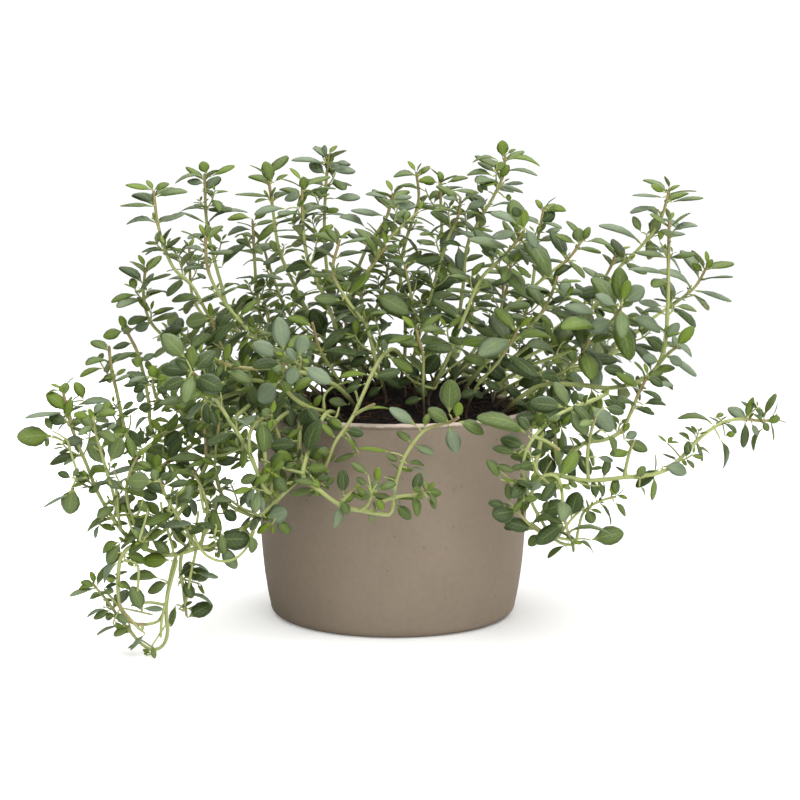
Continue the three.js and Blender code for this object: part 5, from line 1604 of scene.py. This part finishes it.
def soil_profile():
    bottom, edge = POT_FLOOR + SOIL_GAP, SOIL_RADIUS - SOIL_GAP
    side = [(pot_radius(z) - POT_WALL - SOIL_GAP, z) for z in np.linspace(bottom, SOIL_EDGE, 10)]
    top = [(edge * share, soil_top(edge * share)) for share in np.linspace(0.985, 0.02, 44)]
    return [(0, bottom), *side, *top, (0, soil_top(0))]


def rough_soil(point):
    """The top is roughened and humped; the side follows the pot's."""
    if point.z < SOIL_EDGE - 0.1:
        return out_of_true(point)
    lift = noise.fractal(point * 0.09, 1.0, 2.0, 5) * 1.6 + noise.noise(point * 0.9) * 0.35
    for x, y, height, half_width in HUMPS:
        away = math.hypot(point.x - x, point.y - y) / half_width
        lift += height * math.exp(-away ** 2)
    return point + Vector((0, 0, lift))


def soil_material(name, dark, light, patch_scale):
    material, tree = new_material(name)
    patches, grain = mottle(tree, patch_scale, patch_scale * 6)
    color = mix(tree, patches, srgb(*dark), srgb(*light), 0.7)
    color = mix(tree, grain, color, srgb(*dark), 0.5)
    show(tree, skin(tree, color, 0.9, 0.25, bump(tree, grain, 0.6, 0.0008)))
    return material


bed = turned("soil_bed", soil_profile(), rough_soil)
bed.data.materials.append(soil_material("peat", (14, 11, 9), (36, 26, 22), 260.0))

# %% Crumbs and fibres to scatter
FIBRE_RINGS = 8
FIBRE_SIDES = 3
FIBRE_RADIUS = 0.018           # at its thick end
KINDS = 5                      # of crumbs, and of fibres


def crumb(name, seed):
    """A lump of 20 faces, about one unit across."""
    work = bmesh.new()
    bmesh.ops.create_icosphere(work, subdivisions=1, radius=0.5)
    for vertex in work.verts:
        vertex.co *= 0.75 + 0.5 * noise.noise(vertex.co * 2 + Vector((seed, 0, 0)))
        vertex.co.z *= 0.7
    mesh = bpy.data.meshes.new(name)
    work.to_mesh(mesh)
    work.free()
    return bpy.data.objects.new(name, mesh)


def fibre(name, seed):
    """A thin bent thread, one unit long, with a three-sided section."""
    rng = random.Random(seed)
    bend = [rng.uniform(-0.5, 0.5) for _ in range(4)]
    points, faces = [], []
    for i in range(FIBRE_RINGS):
        t = i / (FIBRE_RINGS - 1)
        centre = Vector((t - 0.5, bend[0] * t * t + bend[1] * math.sin(5 * t) * 0.2,
                         0.1 * math.sin(math.pi * t) + bend[2] * 0.08 * math.sin(7 * t)))
        for k in range(FIBRE_SIDES):
            turn = 2 * math.pi * k / FIBRE_SIDES
            points.append(centre + Vector((0, math.cos(turn), math.sin(turn)))
                          * (FIBRE_RADIUS * (1 - 0.6 * t)))
    for i in range(FIBRE_RINGS - 1):
        for k in range(FIBRE_SIDES):
            a, b = i * FIBRE_SIDES + k, i * FIBRE_SIDES + (k + 1) % FIBRE_SIDES
            faces.append((a, a + FIBRE_SIDES, b + FIBRE_SIDES, b))
    faces += [tuple(range(FIBRE_SIDES)),
              tuple(len(points) - 1 - k for k in range(FIBRE_SIDES))]
    return bpy.data.objects.new(name, new_mesh(name, points, faces=faces))


crumbs = collect("crumbs", [crumb(f"crumb_{i}", i * 3.7) for i in range(KINDS)])
fibres = collect("fibres", [fibre(f"fibre_{i}", i) for i in range(KINDS)])


# %% The scattering tree
TILT = 0.35                    # how far a scattered thing may lean, in radians
TURN = 3.14                    # and how far it may be turned to either side


def scatter_tree():
    tree, given = new_tree("Scatter on a surface", "GeometryNodeTree", {
        "Surface": "Geometry", "Things": "Collection", "Density": "Float", "Smallest": "Float",
        "Largest": "Float", "Widest": "Float", "Seed": "Int", "Material": "Material",
    }, {"Geometry": "Geometry"})
    flat = add(tree, "ShaderNodeVectorMath",
               {0: add(tree, "GeometryNodeInputPosition"), 1: (1, 1, 0)}, operation="MULTIPLY")
    radius = add(tree, "ShaderNodeVectorMath", {0: flat}, operation="LENGTH").outputs["Value"]
    facing = component(tree, add(tree, "GeometryNodeInputNormal"), 2)
    on_top = times(tree, math_node(tree, "LESS_THAN", radius, given["Widest"]),
                   math_node(tree, "GREATER_THAN", facing, 0.3))
    spots = add(tree, "GeometryNodeDistributePointsOnFaces",
                {"Mesh": given["Surface"], "Selection": on_top, "Density": given["Density"],
                 "Seed": given["Seed"]})
    size = add(tree, "FunctionNodeRandomValue",
               {2: given["Smallest"], 3: given["Largest"], "Seed": given["Seed"]},
               data_type="FLOAT")
    spin = add(tree, "FunctionNodeRandomValue",
               {0: (-TILT, -TILT, -TURN), 1: (TILT, TILT, TURN), "Seed": given["Seed"]},
               data_type="FLOAT_VECTOR")
    scattered = set_down(tree, spots, given["Things"],
                         {"Rotation": spin.outputs[0], "Scale": size.outputs[1]})
    real = add(tree, "GeometryNodeRealizeInstances", {"Geometry": scattered})
    done = add(tree, "GeometryNodeSetMaterial",
               {"Geometry": real, "Material": given["Material"]})
    add(tree, "NodeGroupOutput", {0: done})
    return tree


SCATTER = scatter_tree()
loose = grow_piece("soil_crumbs", bed.data.copy(), SCATTER, {
    "Things": crumbs, "Density": 260000.0, "Smallest": 0.5 * MM, "Largest": 2.4 * MM,
    "Widest": (SOIL_RADIUS - 1.5) * MM, "Seed": 3,
    "Material": soil_material("peat_crumbs", (17, 12, 10), (52, 37, 30), 400.0)})
threads = grow_piece("soil_fibres", bed.data.copy(), SCATTER, {
    "Things": fibres, "Density": 80000.0, "Smallest": 3.0 * MM, "Largest": 9.5 * MM,
    "Widest": (SOIL_RADIUS - 7) * MM, "Seed": 5,
    "Material": soil_material("peat_fibres", (72, 46, 35), (152, 106, 78), 300.0)})
for piece in (bed, loose, threads):
    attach(piece, "root")
    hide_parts("soil")
    print(piece.name, len(piece.data.polygons), "faces")

# %% [markdown]
# ## Floor, light and camera
#
# A product photo on white is made in a light tent: a broad light overhead, a softer one at the
# front right, and pale surroundings. The floor is bright enough to turn white, so that only the
# soft shadow around the pot shows it; its left part also glows for the camera, a painted light
# that thins the shadow there. The camera stands where the pot's two ellipses say that it
# stood: 0.83 m away, a little above the plant's middle, looking slightly down.

# %% The floor
FLOOR_RADIUS = 0.9
FLOOR_SIDES = 96
FLOOR_PAINT = (0.9, 0.9, 0.9, 1)
# painted light: the left part of the floor glows for the camera, washing out the shadow there
LIFT = 0.56                    # how much the left part of the floor is brightened
LIFT_FROM, LIFT_FULL = 0.045, -0.15                # in x


def floor_material():
    """The floor's left part glows for the camera only, a painted light that softens the shadow there.
    """
    material, tree = new_material("floor_white")
    paint = add(tree, "ShaderNodeBsdfDiffuse", {"Color": FLOOR_PAINT})
    seen = add(tree, "ShaderNodeLightPath").outputs["Is Camera Ray"]
    share = ramp(tree, component(tree, object_place(tree), 0), LIFT_FROM, LIFT_FULL, False)
    painted_glow = add(tree, "ShaderNodeEmission",
                 {"Strength": times(tree, share, times(tree, LIFT, seen))})
    show(tree, add(tree, "ShaderNodeAddShader", {0: paint, 1: painted_glow}))
    return material


ring = [(FLOOR_RADIUS * math.cos(a), FLOOR_RADIUS * math.sin(a), 0)
        for a in np.linspace(0, 2 * math.pi, FLOOR_SIDES, endpoint=False)]
floor = put("floor", new_mesh("floor", ring, faces=[tuple(range(FLOOR_SIDES))]))
floor.data.materials.append(floor_material())
print("floor:", 2 * FLOOR_RADIUS, "m across")

# %% The surroundings
BACKDROP = 1.05                # how bright the camera sees the tent
TENT_LIGHT = 0.46              # how much light it gives on average
TENT_SLOPE = 0.36              # how much more on the right, and less on the left

world = bpy.data.worlds.new("tent")
bpy.context.scene.world = world
world.use_nodes = True
tree = world.node_tree
tree.nodes.clear()
seen = add(tree, "ShaderNodeLightPath").outputs["Is Camera Ray"]
way = component(tree, add(tree, "ShaderNodeTexCoord").outputs["Generated"], 0)
side = math_node(tree, "MULTIPLY_ADD", way, TENT_SLOPE, TENT_LIGHT)
strength = math_node(tree, "MAXIMUM", times(tree, seen, BACKDROP), side)
sky = add(tree, "ShaderNodeBackground", {"Color": (1, 1, 1, 1), "Strength": strength})
add(tree, "ShaderNodeOutputWorld", {"Surface": sky})
bpy.context.scene.view_settings.view_transform = "Standard"
print("light from the surroundings:", round(TENT_LIGHT - TENT_SLOPE, 2), "on the left,",
      round(TENT_LIGHT + TENT_SLOPE, 2), "on the right")

# %% Lights and camera
# place, what it is turned to, width and height in metres, and power in watts
LIGHTS = {
    "overhead": ((0.15, 0.0, 1.6), (0, 0, 0), (2.8, 2.8), 63),
    "front_right": ((0.45, -1.5, 1.0), (0, 0, 0.09), (1.2, 1.4), 15.5),
}
CAMERA_PITCH = 7.41            # degrees down
SENSOR = 36
FOCAL_LENGTH = 1917 / 800      # in picture widths, from the pot's two ellipses

for name, (place, target, size, power) in LIGHTS.items():
    light = bpy.data.lights.new(name, "AREA")
    light.shape, light.size, light.size_y, light.energy = "RECTANGLE", *size, power
    lamp = put(name, light)
    lamp.location = place
    lamp.rotation_euler = (Vector(target) - Vector(place)).to_track_quat("-Z", "Y").to_euler()

camera = put("camera", bpy.data.cameras.new("camera"))
camera.location = Vector(EYE) * MM
camera.rotation_euler = (math.radians(90 - CAMERA_PITCH), 0, 0)
camera.data.sensor_width = SENSOR
camera.data.lens = SENSOR * FOCAL_LENGTH
bpy.context.scene.camera = camera
print("lights:", ", ".join(LIGHTS), "- lens:", round(camera.data.lens, 1), "mm")
